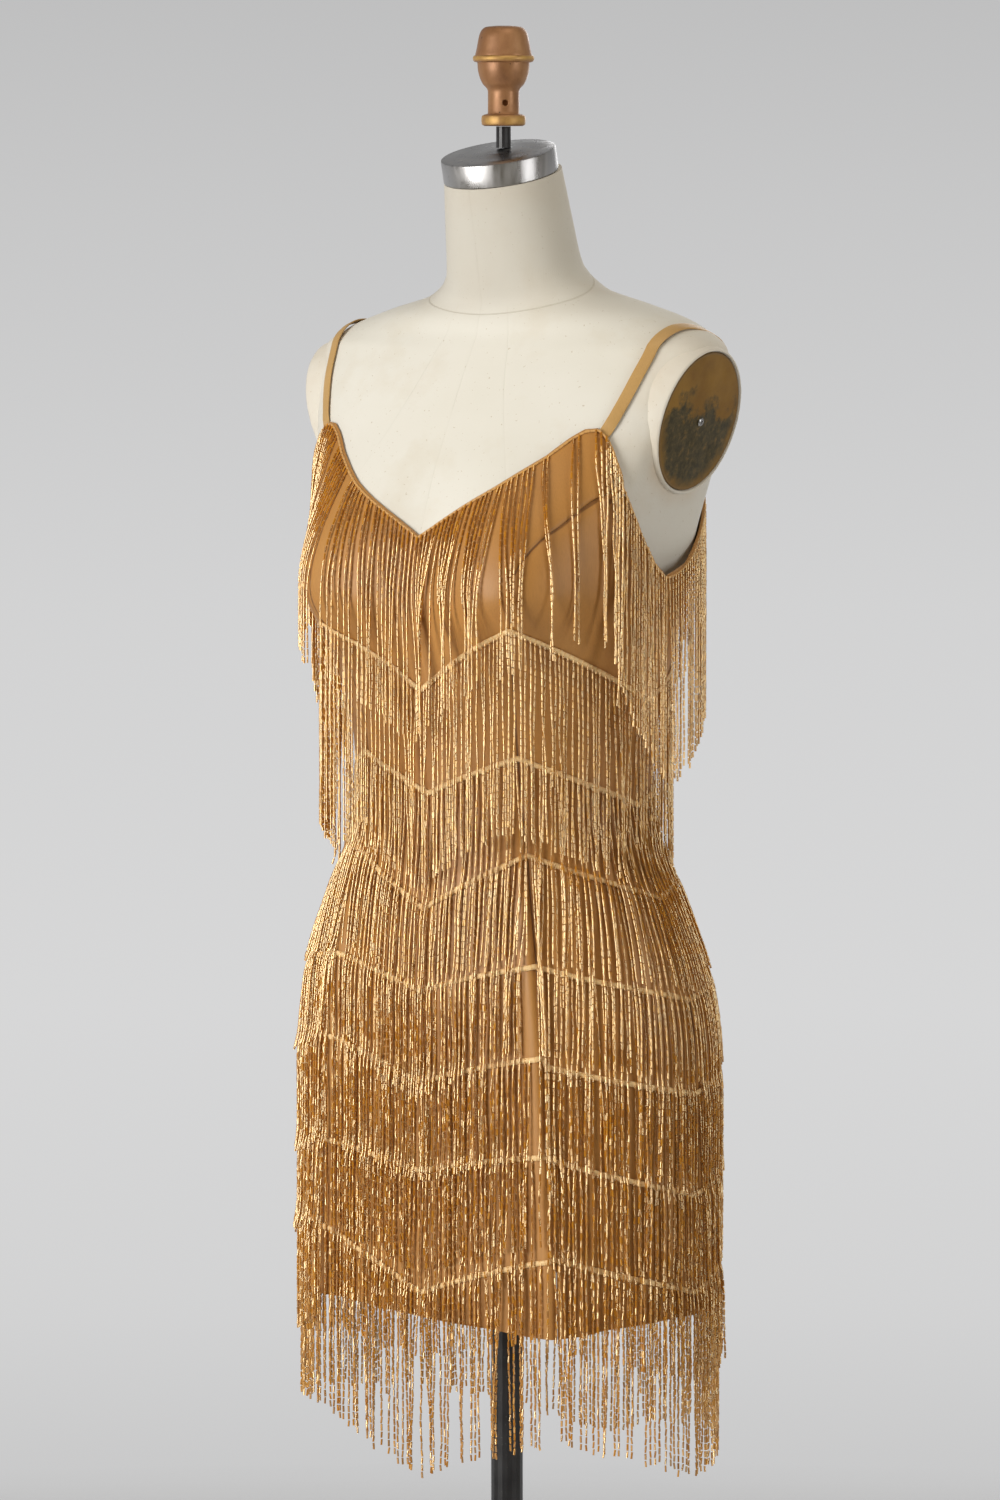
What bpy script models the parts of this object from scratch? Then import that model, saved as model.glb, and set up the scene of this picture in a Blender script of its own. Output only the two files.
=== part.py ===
"""Fringe dress on a limbless dress form.

Metres, +Z up. The form faces -Y, its own left side is +X, and it stands on the floor at z = 0
with its pole on the Z axis. An angle on the body is measured from the front (0) towards the
wearer's left (+90 degrees) and round to the middle of the back (180 degrees).
"""
import math

import bmesh
import bpy
import numpy as np
from mathutils import Matrix, Vector
from mathutils.bvhtree import BVHTree

# Body of the form, a row for each level
FORM_COLUMNS = ("height", "half_width", "front_depth", "back_depth", "squareness", "centre")
FORM_SECTIONS = np.array([
    (0.745, 0.163, 0.105, 0.114, 2.10, 0.000),
    (0.800, 0.171, 0.111, 0.121, 2.10, 0.000),
    (0.840, 0.175, 0.114, 0.123, 2.10, 0.000),
    (0.900, 0.168, 0.114, 0.117, 2.10, 0.000),
    (0.960, 0.147, 0.110, 0.103, 2.10, 0.000),
    (1.010, 0.127, 0.105, 0.091, 2.05, 0.000),
    (1.045, 0.121, 0.103, 0.087, 2.00, 0.000),
    (1.090, 0.124, 0.106, 0.089, 2.00, 0.000),
    (1.140, 0.132, 0.113, 0.099, 2.10, 0.000),
    (1.200, 0.143, 0.117, 0.111, 2.20, 0.000),
    (1.250, 0.150, 0.111, 0.126, 2.30, 0.000),
    (1.300, 0.161, 0.102, 0.130, 2.40, 0.004),
    (1.340, 0.175, 0.092, 0.121, 2.40, 0.012),
    (1.379, 0.184, 0.078, 0.103, 2.30, 0.018),
    (1.400, 0.182, 0.069, 0.090, 2.20, 0.021),
    (1.415, 0.160, 0.062, 0.077, 2.10, 0.020),
    (1.4285, 0.122, 0.057, 0.065, 2.00, 0.018),
    (1.442, 0.076, 0.050, 0.057, 2.00, 0.015),
    (1.460, 0.056, 0.048, 0.052, 2.00, 0.010),
    (1.490, 0.052, 0.048, 0.048, 2.00, 0.004),
    (1.535, 0.0465, 0.047, 0.045, 2.00, -0.005),
])
BUST_HEIGHT = 1.215
BUST_ANGLE = math.radians(34)
BUST_DEPTH = 0.034
BUST_SPREAD = math.radians(17)
BUST_RISE_ABOVE = 0.060
BUST_RISE_BELOW = 0.036
HIP_HEIGHT = 0.840
TORSO_DEGREES = (0, 6, 12, 18, 24, 30, 36, 43, 50, 58, 70, 84, 98, 113, 129, 146, 163)
TORSO_LEVELS_LOW = (0.745, 0.790)
TORSO_LEVELS_CHEST = (1.222, 1.238, 1.254, 1.270, 1.287, 1.304, 1.321, 1.340)
TORSO_LEVELS_SHOULDER = (1.358, 1.375, 1.390, 1.402, 1.410, 1.418, 1.426, 1.435, 1.446, 1.463)
TORSO_LEVELS_NECK = (1.490, 1.535)

# Neck, cap, rod and finial
NECK_TILT = 0.245
NECK_TILT_FROM = 1.440
NECK_TOP = 1.535
CAP_RADIUS = 0.0455
CAP_HEIGHT = 0.0185
CAP_CENTRE = -0.008
ROD_RADIUS = 0.0059
ROD_CENTRE = -0.0048
FINIAL_FOOT = 1.574
# Height above the finial's foot and radius
FINIAL_PROFILE = (
    (0.0000, 0.0172), (0.0083, 0.0172), (0.0094, 0.0123), (0.0265, 0.0123), (0.0310, 0.0150),
    (0.0370, 0.0182), (0.0440, 0.0200), (0.0503, 0.0205), (0.0505, 0.0236), (0.0550, 0.0240),
    (0.0570, 0.0212), (0.0680, 0.0196), (0.0750, 0.0175), (0.0786, 0.0130),
)

# Arm cuts and their plates
ARM_CUT_CENTRE = Vector((0.1660, 0.020, 1.345))
ARM_CUT_LEAN = math.radians(15)
PLATE_HALF_WIDTH = 0.052
PLATE_HALF_HEIGHT = 0.056
PLATE_THICKNESS = 0.003
SCREW_RADIUS = 0.0035
SCREW_THICKNESS = 0.0015

# Pole and base
POLE_RADIUS = 0.0127
BASE_RADIUS = 0.210
BASE_EDGE_HEIGHT = 0.012
BASE_RISE = 0.022
COLLAR_RADIUS = 0.026
COLLAR_HEIGHT = 0.050

# Cloth
CLOTH_CLEARANCE = 0.0018
CLOTH_WALL = 0.0016
SEAM_GAP = 0.0003
HEM_CENTRE = 0.644
HEM_DIP = 0.026
SIDE_SEAM = math.radians(91.5)

# Front panel's outer seam: up the princess line, over the bust to the armhole, then its edge
PRINCESS_COLUMNS = ("height", "degrees")
PRINCESS_SEAM = np.array([
    (0.630, 50.5), (0.700, 50.0), (0.780, 48.0), (0.860, 46.5), (0.930, 44.5), (1.010, 42.5),
    (1.090, 39.0), (1.150, 37.0), (1.190, 36.0), (1.222, 36.2), (1.239, 39.2), (1.254, 44.3),
    (1.268, 51.8), (1.284, 59.8), (1.297, 68.3), (1.320, 66.0), (1.3405, 64.0),
])
# Upper edge of the dress: the neckline up to the front strap point, then from the top of the
# armhole seam under the arm to the back strap point and the middle of the back
EDGE_COLUMNS = ("degrees", "height")
NECKLINE = np.array([
    (0.0, 1.256), (15.0, 1.275), (30.0, 1.293), (45.0, 1.313), (56.0, 1.330), (64.0, 1.3405),
])
BACK_EDGE = np.array([
    (68.3, 1.297), (73.0, 1.276), (79.0, 1.252), (85.5, 1.233), (91.5, 1.224), (104.1, 1.233),
    (116.8, 1.258), (129.4, 1.283), (142.1, 1.300), (154.7, 1.287), (167.4, 1.278),
    (180.0, 1.273),
])
# Columns of the cloth in each panel, as shares of the way between its two seams
FRONT_SHARES = [i / 8 for i in range(9)]
SIDE_SHARES = [0, 0.11, 0.26, 0.48, 0.74, 1]
BACK_SHARES = [i / 7 for i in range(8)]
CLOTH_LEVELS_LOW = [0.634 + 0.041 * i for i in range(11)]
CLOTH_LEVELS_BUST = [1.083 + 0.0155 * i for i in range(9)]
ARMHOLE_SEAM_STEPS = 6
SEAM_TOP = 1.297
STRAP_POINT = 1.3405

# Straps
STRAP_WIDTH = 0.0095
STRAP_THICKNESS = 0.0014
STRAP_CLEARANCE = 0.0009
STRAP_FRONT_ANGLE = math.radians(62.8)
STRAP_BACK_ANGLE = math.radians(142.1)
STRAP_TOP_X = 0.156
STRAP_STEPS = 20
STRAP_PIVOT_HEIGHT = 1.29

# Fringe tapes, a row for each from bust to hem: height at the middle of the front, at the
# princess line and at the side seam, and how far the strands hang below the tape
ROW_COLUMNS = ("front", "princess", "side", "length")
ROWS = np.array([
    (1.140, 1.188, 1.128, 0.150),
    (1.059, 1.086, 1.046, 0.148),
    (0.969, 1.0105, 0.974, 0.147),
    (0.905, 0.926, 0.896, 0.146),
    (0.833, 0.853, 0.822, 0.145),
    (0.763, 0.777, 0.742, 0.142),
    (0.667, 0.697, 0.666, 0.140),
])
BACK_ROW_DROP = 0.004
TAPE_LIFT = 0.0008
EDGE_TAPE_LIFT = 0.0019
TAPE_THICKNESS = 0.0012
TAPE_WIDTH = 0.0045
STRANDS_IN_ROW = 22
STRANDS_IN_EDGE = 34
EDGE_STRAND_LENGTH = 0.152
STRAND_WIDTH = 0.0028
STRAND_THICKNESS = 0.0018
STRAND_LIFT = 0.0028
EDGE_STRAND_LIFT = 0.0056
STRAND_DROP = 0.008
STRAND_MARGIN_DEGREES = 0.87
EDGE_INSET = 0.0008
ARMHOLE_MIDDLE = (math.radians(66.0), 1.320)

ROUND_SIDES = 28


def clear_scene():
    for item in list(bpy.data.objects):
        bpy.data.objects.remove(item)


def material(name, colour, roughness, metallic=0.0):
    made = bpy.data.materials.new(name)
    made.use_nodes = True
    shader = made.node_tree.nodes["Principled BSDF"]
    shader.inputs["Base Color"].default_value = (*colour, 1.0)
    shader.inputs["Roughness"].default_value = roughness
    shader.inputs["Metallic"].default_value = metallic
    return made


def add_object(name, vertices, faces, finish, smooth_degrees=40):
    mesh = bpy.data.meshes.new(name)
    mesh.from_pydata([tuple(v) for v in vertices], [], faces)
    mesh.update()
    mesh.shade_smooth()
    mesh.set_sharp_from_angle(angle=math.radians(smooth_degrees))
    mesh.materials.append(finish)
    made = bpy.data.objects.new(name, mesh)
    bpy.context.scene.collection.objects.link(made)
    return made


def smooth_curve(table, x_column, y_column, x):
    """Read one column of a table on a smooth curve that never overshoots its rows."""
    xs = table[:, x_column]
    ys = table[:, y_column]
    steps = np.diff(xs)
    slopes = np.diff(ys) / steps
    tangents = np.zeros(len(xs))
    tangents[0] = slopes[0]
    tangents[-1] = slopes[-1]
    for i in range(1, len(xs) - 1):
        if slopes[i - 1] * slopes[i] > 0:
            after = 2 * steps[i] + steps[i - 1]
            before = steps[i] + 2 * steps[i - 1]
            tangents[i] = (after + before) / (after / slopes[i - 1] + before / slopes[i])
    x = np.clip(x, xs[0], xs[-1])
    i = np.clip(np.searchsorted(xs, x, side="right") - 1, 0, len(xs) - 2)
    t = (x - xs[i]) / steps[i]
    start = (1 + 2 * t) * (1 - t) ** 2 * ys[i] + t * (1 - t) ** 2 * steps[i] * tangents[i]
    end = t * t * (3 - 2 * t) * ys[i + 1] + t * t * (t - 1) * steps[i] * tangents[i + 1]
    return start + end


def form_section(name, height):
    return smooth_curve(FORM_SECTIONS, 0, FORM_COLUMNS.index(name), height)


def form_radius(angle, height):
    """Distance of the form's surface from its centre line at one level."""
    half_width = form_section("half_width", height)
    power = form_section("squareness", height)
    depth = np.where(np.cos(angle) > 0, form_section("front_depth", height),
                     form_section("back_depth", height))
    across = np.abs(np.sin(angle)) / half_width
    along = np.abs(np.cos(angle)) / depth
    radius = (across ** power + along ** power) ** (-1 / power)
    turned = (angle + math.pi) % math.tau - math.pi
    rise = np.where(height > BUST_HEIGHT, BUST_RISE_ABOVE, BUST_RISE_BELOW)
    level = np.exp(-((height - BUST_HEIGHT) / rise) ** 2 / 2)
    for side in (-1, 1):
        off_centre = (turned - side * BUST_ANGLE) / BUST_SPREAD
        radius = radius + BUST_DEPTH * level * np.exp(-off_centre ** 2 / 2)
    return radius


def body_point(angle, height, radius):
    centre = float(form_section("centre", height))
    return Vector((radius * math.sin(angle), centre - radius * math.cos(angle), height))


def form_point(angle, height, lift=0.0):
    return body_point(angle, height, float(form_radius(angle, height)) + lift)


def cloth_point(angle, height, lift=0.0):
    """A point of the dress: it hugs the form to the hips and hangs straight below them."""
    level = max(height, HIP_HEIGHT)
    radius = float(form_radius(angle, level)) + CLOTH_CLEARANCE + lift
    return body_point(angle, height, radius)


# Form

def arm_frame(side):
    """Placement of an arm plate: its X points out of the cut, its Z up the cut."""
    turn = Matrix.Rotation(side * ARM_CUT_LEAN, 4, "Y")
    if side < 0:
        turn = turn @ Matrix.Rotation(math.pi, 4, "Z")
    centre = Vector((side * ARM_CUT_CENTRE.x, ARM_CUT_CENTRE.y, ARM_CUT_CENTRE.z))
    return Matrix.Translation(centre) @ turn


def cut_at_arm(point):
    """Press a point that lies outside an arm cut straight in, onto the cut's plane."""
    normal = Vector((math.cos(ARM_CUT_LEAN), 0, -math.sin(ARM_CUT_LEAN)))
    mirrored = Vector((abs(point.x), point.y, point.z))
    beyond = (mirrored - ARM_CUT_CENTRE).dot(normal)
    if beyond <= 0:
        return point
    pressed = abs(point.x) - beyond / normal.x
    return Vector((math.copysign(pressed, point.x), point.y, point.z))


def tilt_neck(point):
    share = (point.z - NECK_TILT_FROM) / (NECK_TOP - NECK_TILT_FROM)
    if share > 0:
        point.z += NECK_TILT * share * (point.y - CAP_CENTRE)
    return point


def build_torso(finish):
    """The torso's corners lie under the cloth's, so the two never come close."""
    levels = list(TORSO_LEVELS_LOW)
    levels += [height for height in CLOTH_LEVELS_LOW if height > HIP_HEIGHT - 0.002]
    levels += CLOTH_LEVELS_BUST
    levels += TORSO_LEVELS_CHEST + TORSO_LEVELS_SHOULDER + TORSO_LEVELS_NECK
    degrees = TORSO_DEGREES + (180,) + tuple(360 - d for d in TORSO_DEGREES[:0:-1])
    angles = [math.radians(d) for d in degrees]
    vertices = []
    for height in levels:
        for angle in angles:
            vertices.append(tilt_neck(cut_at_arm(form_point(angle, height))))
    count = len(angles)
    faces = ring_faces(len(vertices) // count, count)
    faces.append(list(range(count))[::-1])
    faces.append(list(range(len(vertices) - count, len(vertices))))
    return add_object("form_torso", vertices, faces, finish, 60)


def ring_faces(rings, count):
    """Side faces of stacked closed rings that run from low to high."""
    faces = []
    for ring in range(rings - 1):
        for i in range(count):
            j = (i + 1) % count
            low = ring * count
            faces.append([low + i, low + j, low + count + j, low + count + i])
    return faces


def turned(name, profile, finish, sides=ROUND_SIDES, place=None, squash=1.0):
    """A solid turned about Z from (height, radius) pairs that run from low to high."""
    vertices = []
    for height, radius in profile:
        for i in range(sides):
            angle = math.tau * i / sides
            across = radius * math.cos(angle)
            along = radius * squash * math.sin(angle)
            vertices.append(Vector((across, along, height)))
    faces = ring_faces(len(profile), sides)
    faces.append(list(range(sides))[::-1])
    faces.append(list(range(len(vertices) - sides, len(vertices))))
    made = add_object(name, vertices, faces, finish)
    if place is not None:
        made.matrix_world = place
    return made


def build_neck_hardware(steel, black, wood):
    tilt = math.atan(NECK_TILT)
    foot = Vector((0, CAP_CENTRE, NECK_TOP + SEAM_GAP))
    place = Matrix.Translation(foot) @ Matrix.Rotation(tilt, 4, "X")
    turned("neck_cap", ((0, CAP_RADIUS), (CAP_HEIGHT, CAP_RADIUS)), steel, place=place)
    rod_foot = NECK_TOP + CAP_HEIGHT / math.cos(tilt)
    rod_foot += 2 * SEAM_GAP + (ROD_CENTRE - CAP_CENTRE + ROD_RADIUS) * NECK_TILT
    rod_top = FINIAL_FOOT - SEAM_GAP
    upright = Matrix.Translation((0, ROD_CENTRE, 0))
    turned("top_rod", ((rod_foot, ROD_RADIUS), (rod_top, ROD_RADIUS)), black, 16, upright)
    profile = [(FINIAL_FOOT + height, radius) for height, radius in FINIAL_PROFILE]
    turned("finial", profile, wood, 20, upright)


def build_arm_plates(brass, steel):
    for side, word in ((1, "left"), (-1, "right")):
        face_out = Matrix.Rotation(math.pi / 2, 4, "Y")
        seat = arm_frame(side) @ Matrix.Translation((SEAM_GAP, 0, 0)) @ face_out
        profile = ((0, PLATE_HALF_HEIGHT), (PLATE_THICKNESS, PLATE_HALF_HEIGHT))
        squash = PLATE_HALF_WIDTH / PLATE_HALF_HEIGHT
        turned("arm_plate_" + word, profile, brass, place=seat, squash=squash)
        head = seat @ Matrix.Translation((0, 0, PLATE_THICKNESS + SEAM_GAP))
        profile = ((0, SCREW_RADIUS), (SCREW_THICKNESS, SCREW_RADIUS * 0.8))
        turned("arm_screw_" + word, profile, steel, 10, place=head)


def build_stand(black):
    pole_top = float(FORM_SECTIONS[0][0]) - SEAM_GAP
    pole_foot = BASE_RISE + COLLAR_HEIGHT + SEAM_GAP
    turned("pole", ((pole_foot, POLE_RADIUS), (pole_top, POLE_RADIUS)), black, 20)
    profile = (
        (0, BASE_RADIUS), (BASE_EDGE_HEIGHT, BASE_RADIUS), (BASE_RISE, COLLAR_RADIUS * 1.5),
        (BASE_RISE + COLLAR_HEIGHT * 0.2, COLLAR_RADIUS),
        (BASE_RISE + COLLAR_HEIGHT, COLLAR_RADIUS * 0.8),
    )
    turned("base", profile, black, 36)


# Dress panels

def hem_height(angle):
    """The hem dips a little at each princess line."""
    return HEM_CENTRE - HEM_DIP * math.sin(angle) ** 2 * abs(math.cos(angle))


def degrees_from_front(angle):
    return math.degrees(abs((angle + math.pi) % math.tau - math.pi))


def read_line(table, columns, known, wanted, value):
    """Read a table on straight lines between its rows."""
    xs = table[:, columns.index(known)]
    ys = table[:, columns.index(wanted)]
    return float(np.interp(value, xs, ys))


def neckline_height(angle):
    return read_line(NECKLINE, EDGE_COLUMNS, "degrees", "height", degrees_from_front(angle))


def back_edge_height(angle):
    return read_line(BACK_EDGE, EDGE_COLUMNS, "degrees", "height", degrees_from_front(angle))


def princess_angle(height):
    return math.radians(read_line(PRINCESS_SEAM, PRINCESS_COLUMNS, "height", "degrees", height))


def side_angle(_height):
    return SIDE_SEAM


def back_angle(_height):
    return math.pi


def front_angle(_height):
    return 0.0


def column_between(first, last, share):
    """A line up the body that keeps its share of the way between two seams."""
    def angle_at(height):
        start = first(height)
        return start + (last(height) - start) * share
    return angle_at


def columns_round():
    """All the cloth's columns, once round the body from the middle of the front. The second
    half runs back from the middle of the back to the front."""
    half = [column_between(front_angle, princess_angle, share) for share in FRONT_SHARES[:-1]]
    half += [column_between(princess_angle, side_angle, share) for share in SIDE_SHARES[:-1]]
    half += [column_between(side_angle, back_angle, share) for share in BACK_SHARES]
    mirrored = [lambda height, angle_at=angle_at: math.tau - angle_at(height)
                for angle_at in half[-2:0:-1]]
    return half + mirrored


def meeting_height(angle_at, height_at):
    """Height where a column meets a line that is drawn round the body."""
    height = BUST_HEIGHT
    for _ in range(40):
        height += (height_at(angle_at(height)) - height) * 0.5
    return height


def front_shares():
    """Levels of the front panel above the bust: they meet the side panel's along the seam."""
    highest = CLOTH_LEVELS_BUST[-1]
    seam = [highest + (SEAM_TOP - highest) * (i + 1) / ARMHOLE_SEAM_STEPS
            for i in range(ARMHOLE_SEAM_STEPS)]
    levels = seam + [ARMHOLE_MIDDLE[1], STRAP_POINT]
    return [(level - highest) / (STRAP_POINT - highest) for level in levels]


def side_shares():
    return [(i + 1) / ARMHOLE_SEAM_STEPS for i in range(ARMHOLE_SEAM_STEPS)]


def build_panel(name, first, last, across, edge_height, upward, finish):
    """A wall between two seams, from the hem to the upper edge of the dress."""
    inner = []
    outer = []
    columns = len(across) - 1
    for column, share_across in enumerate(across):
        angle_at = column_between(first, last, share_across)
        top = meeting_height(angle_at, edge_height)
        highest = CLOTH_LEVELS_BUST[-1]
        heights = [hem_height(angle_at(CLOTH_LEVELS_LOW[0]))] + CLOTH_LEVELS_LOW[1:]
        heights += CLOTH_LEVELS_BUST
        heights += [highest + (top - highest) * share for share in upward]
        side = 0
        if column == 0:
            side = 1
        if column == columns:
            side = -1
        for height in heights:
            angle = angle_at(height)
            reach = float(form_radius(angle, max(height, HIP_HEIGHT)))
            angle += side * SEAM_GAP / 2 / reach
            inner.append(cloth_point(angle, height))
            outer.append(cloth_point(angle, height, CLOTH_WALL))
    levels = len(inner) // (columns + 1)
    faces = []
    far = len(inner)

    def corner(column, level):
        return column * levels + level

    for column in range(columns):
        for level in range(levels - 1):
            a = corner(column, level)
            b = corner(column + 1, level)
            c = corner(column + 1, level + 1)
            d = corner(column, level + 1)
            faces.append([far + a, far + b, far + c, far + d])
            faces.append([d, c, b, a])
        for level in (0, levels - 1):
            a = corner(column, level)
            b = corner(column + 1, level)
            rim = [a, b, far + b, far + a]
            faces.append(rim if level == 0 else rim[::-1])
    for level in range(levels - 1):
        for column in (0, columns):
            a = corner(column, level)
            b = corner(column, level + 1)
            rim = [a, far + a, far + b, b]
            faces.append(rim if column == 0 else rim[::-1])
    made = add_object(name, inner + outer, faces, finish, 60)
    work = bmesh.new()
    work.from_mesh(made.data)
    bmesh.ops.triangulate(work, faces=work.faces[:])
    work.to_mesh(made.data)
    work.free()
    return made


def mirrored_object(source, name):
    """The same solid on the other side of the body."""
    vertices = [Vector((-v.co.x, v.co.y, v.co.z)) for v in source.data.vertices]
    faces = [list(face.vertices)[::-1] for face in source.data.polygons]
    return add_object(name, vertices, faces, source.data.materials[0], 60)


def build_front(finish):
    """The front panel spans both princess lines, so its half is mirrored and joined."""
    half = build_panel("dress_front", front_angle, princess_angle, FRONT_SHARES,
                        neckline_height, front_shares(), finish)
    mesh = half.data
    work = bmesh.new()
    work.from_mesh(mesh)
    on_middle = [f for f in work.faces if all(abs(v.co.x) < SEAM_GAP for v in f.verts)]
    bmesh.ops.delete(work, geom=on_middle, context="FACES_ONLY")
    for vertex in work.verts:
        if abs(vertex.co.x) < SEAM_GAP:
            vertex.co.x = 0
    copied = bmesh.ops.duplicate(work, geom=work.verts[:] + work.edges[:] + work.faces[:])
    fresh = [item for item in copied["geom"] if isinstance(item, bmesh.types.BMVert)]
    flipped = [item for item in copied["geom"] if isinstance(item, bmesh.types.BMFace)]
    for vertex in fresh:
        vertex.co.x = -vertex.co.x
    bmesh.ops.reverse_faces(work, faces=flipped)
    bmesh.ops.remove_doubles(work, verts=work.verts[:], dist=0.00005)
    work.to_mesh(mesh)
    work.free()
    return half


def build_dress(finish):
    front = build_front(finish)
    side_left = build_panel("dress_side_front_left", princess_angle, side_angle, SIDE_SHARES,
                            back_edge_height, side_shares(), finish)
    side_right = mirrored_object(side_left, "dress_side_front_right")
    back_left = build_panel("dress_back_left", side_angle, back_angle, BACK_SHARES,
                            back_edge_height, side_shares(), finish)
    back_right = mirrored_object(back_left, "dress_back_right")
    return [front, side_left, side_right, back_left, back_right]


# Straps

def distance_outside(point):
    """Level distance from the form's surface, positive outside it."""
    middle = float(form_section("centre", point.z))
    angle = math.atan2(point.x, middle - point.y)
    return math.hypot(point.x, middle - point.y) - float(form_radius(angle, point.z))


def form_normal(point):
    """Direction straight out of the form's surface."""
    step = 0.002
    slopes = []
    for axis in (Vector((1, 0, 0)), Vector((0, 1, 0)), Vector((0, 0, 1))):
        ahead = distance_outside(point + axis * step)
        behind = distance_outside(point - axis * step)
        slopes.append(ahead - behind)
    return Vector(slopes).normalized()


def shoulder_hit(x, start_height, slope):
    """Where a line in the plane x = constant, at a slope, leaves the form."""
    near = 0.0
    far = 0.25
    centre = float(form_section("centre", start_height))
    for _ in range(40):
        reach = (near + far) / 2
        y = centre - reach * math.cos(slope)
        z = start_height + reach * math.sin(slope)
        if z > NECK_TOP or distance_outside(Vector((x, y, z))) > 0:
            far = reach
        else:
            near = reach
    return Vector((x, y, z))


def build_strap(name, finish):
    """A flat band from the front point of the dress over the shoulder to the back point."""
    start = cloth_point(STRAP_FRONT_ANGLE, STRAP_POINT + SEAM_GAP)
    end = cloth_point(STRAP_BACK_ANGLE, back_edge_height(STRAP_BACK_ANGLE) + SEAM_GAP)
    middle = float(form_section("centre", STRAP_PIVOT_HEIGHT))
    first = math.atan2(start.z - STRAP_PIVOT_HEIGHT, middle - start.y)
    last = math.atan2(end.z - STRAP_PIVOT_HEIGHT, middle - end.y)
    path = []
    for step in range(STRAP_STEPS + 1):
        share = step / STRAP_STEPS
        slope = first + (last - first) * share
        ends = start.x + (end.x - start.x) * share
        x = ends + (STRAP_TOP_X - ends) * math.sin(math.pi * share)
        path.append(shoulder_hit(x, STRAP_PIVOT_HEIGHT, slope))
    vertices = []
    for i, point in enumerate(path):
        along = (path[min(i + 1, STRAP_STEPS)] - path[max(i - 1, 0)]).normalized()
        outward = form_normal(point)
        outward = (outward - along * outward.dot(along)).normalized()
        across = along.cross(outward)
        base = point + outward * STRAP_CLEARANCE
        for wide, thick in ((-0.5, 0), (0.5, 0), (0.5, 1), (-0.5, 1)):
            corner = base + across * (wide * STRAP_WIDTH) + outward * (thick * STRAP_THICKNESS)
            if i == 0:
                corner += along * ((start.z - corner.z) / along.z)
            if i == STRAP_STEPS:
                corner += along * ((end.z - corner.z) / along.z)
            vertices.append(corner)
    faces = ring_faces(STRAP_STEPS + 1, 4)
    faces.append([3, 2, 1, 0])
    last_ring = 4 * STRAP_STEPS
    faces.append([last_ring, last_ring + 1, last_ring + 2, last_ring + 3])
    faces = [face[::-1] for face in faces]
    return add_object(name, vertices, faces, finish)


# Fringe

class ClothSurface:
    """Reads how far out the dress really is, from its own panels."""

    def __init__(self, panels):
        vertices = []
        faces = []
        for panel in panels:
            first = len(vertices)
            vertices += [v.co.copy() for v in panel.data.vertices]
            faces += [[first + i for i in face.vertices] for face in panel.data.polygons]
        self.tree = BVHTree.FromPolygons(vertices, faces)

    def radius(self, angle, height):
        level = max(height, HIP_HEIGHT)
        plain = float(form_radius(angle, level)) + CLOTH_CLEARANCE + CLOTH_WALL
        start = body_point(angle, height, plain + 0.05)
        inward = body_point(angle, height, 0) - start
        hit = self.tree.ray_cast(start, inward.normalized(), 0.06)
        if hit[0] is None:
            return plain
        return max(plain + 0.05 - hit[3], plain - 0.002)


def row_size(row, name):
    return float(ROWS[row, ROW_COLUMNS.index(name)])


def row_height(row, angle):
    """A tape dips at the middle, rises to the princess line and dips at the side seam."""
    middle, peak, side = (row_size(row, name) for name in ("front", "princess", "side"))
    peak_at = math.degrees(princess_angle(peak))
    places = (0, peak_at, 90, 180 - peak_at, 180)
    heights = (middle, peak, side, peak - BACK_ROW_DROP, middle)
    return float(np.interp(degrees_from_front(angle), places, heights))


def line_round(height_at):
    """Corners of a line drawn round the body, one on each of the cloth's columns."""
    corners = []
    for angle_at in columns_round():
        height = meeting_height(angle_at, height_at)
        corners.append((angle_at(height), height))
    return corners


def edge_line():
    """Corners of the upper edge, round the body from the middle of the front."""
    half = []
    in_front = len(FRONT_SHARES) - 1
    to_back = in_front + len(SIDE_SHARES) - 1 + len(BACK_SHARES)
    for i, angle_at in enumerate(columns_round()[:to_back]):
        if i == in_front:
            half.append((math.radians(NECKLINE[-1][0]), STRAP_POINT))
            half.append(ARMHOLE_MIDDLE)
        edge_height = neckline_height if i < in_front else back_edge_height
        height = meeting_height(angle_at, edge_height)
        half.append((angle_at(height), height))
    return half + [(math.tau - angle, height) for angle, height in half[-2:0:-1]]


def strand_places(corners, count, phase):
    """Spread strands evenly round the body and give each as (span of the tape, share of it)."""
    places = []
    for i in range(count):
        wanted = math.tau * (i + phase) / count
        for span in range(len(corners)):
            start = corners[span][0]
            end = corners[(span + 1) % len(corners)][0]
            if span == len(corners) - 1:
                end += math.tau
            if start <= wanted < end:
                margin = math.radians(STRAND_MARGIN_DEGREES) / (end - start)
                share = (wanted - start) / (end - start)
                places.append((span, min(max(share, margin), 1 - margin)))
    return places


def hang_strand(surface, angle, top, length, lift):
    """Radii of a strand's inner face at its drop, middle and end: it hangs plumb from the
    widest place above and lies on what comes out further below."""
    heights = [top - STRAND_DROP, top - 0.5 * (length + STRAND_DROP), top - length]
    samples = [top - length * i / 24 for i in range(25)]
    widest = 0.0
    hanging = []
    for height in samples:
        widest = max(widest, surface.radius(angle, height) + lift)
        hanging.append(widest)
    radii = [float(np.interp(top - h, [top - s for s in samples], hanging)) for h in heights]
    for low, high in ((0, 1), (1, 2)):
        for height, needed in zip(samples, hanging):
            if heights[high] <= height <= heights[low]:
                share = (heights[low] - height) / (heights[low] - heights[high])
                chord = radii[low] + (radii[high] - radii[low]) * share
                if needed > chord:
                    radii[low] += needed - chord
                    radii[high] += needed - chord
    return list(zip(heights, radii))


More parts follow.
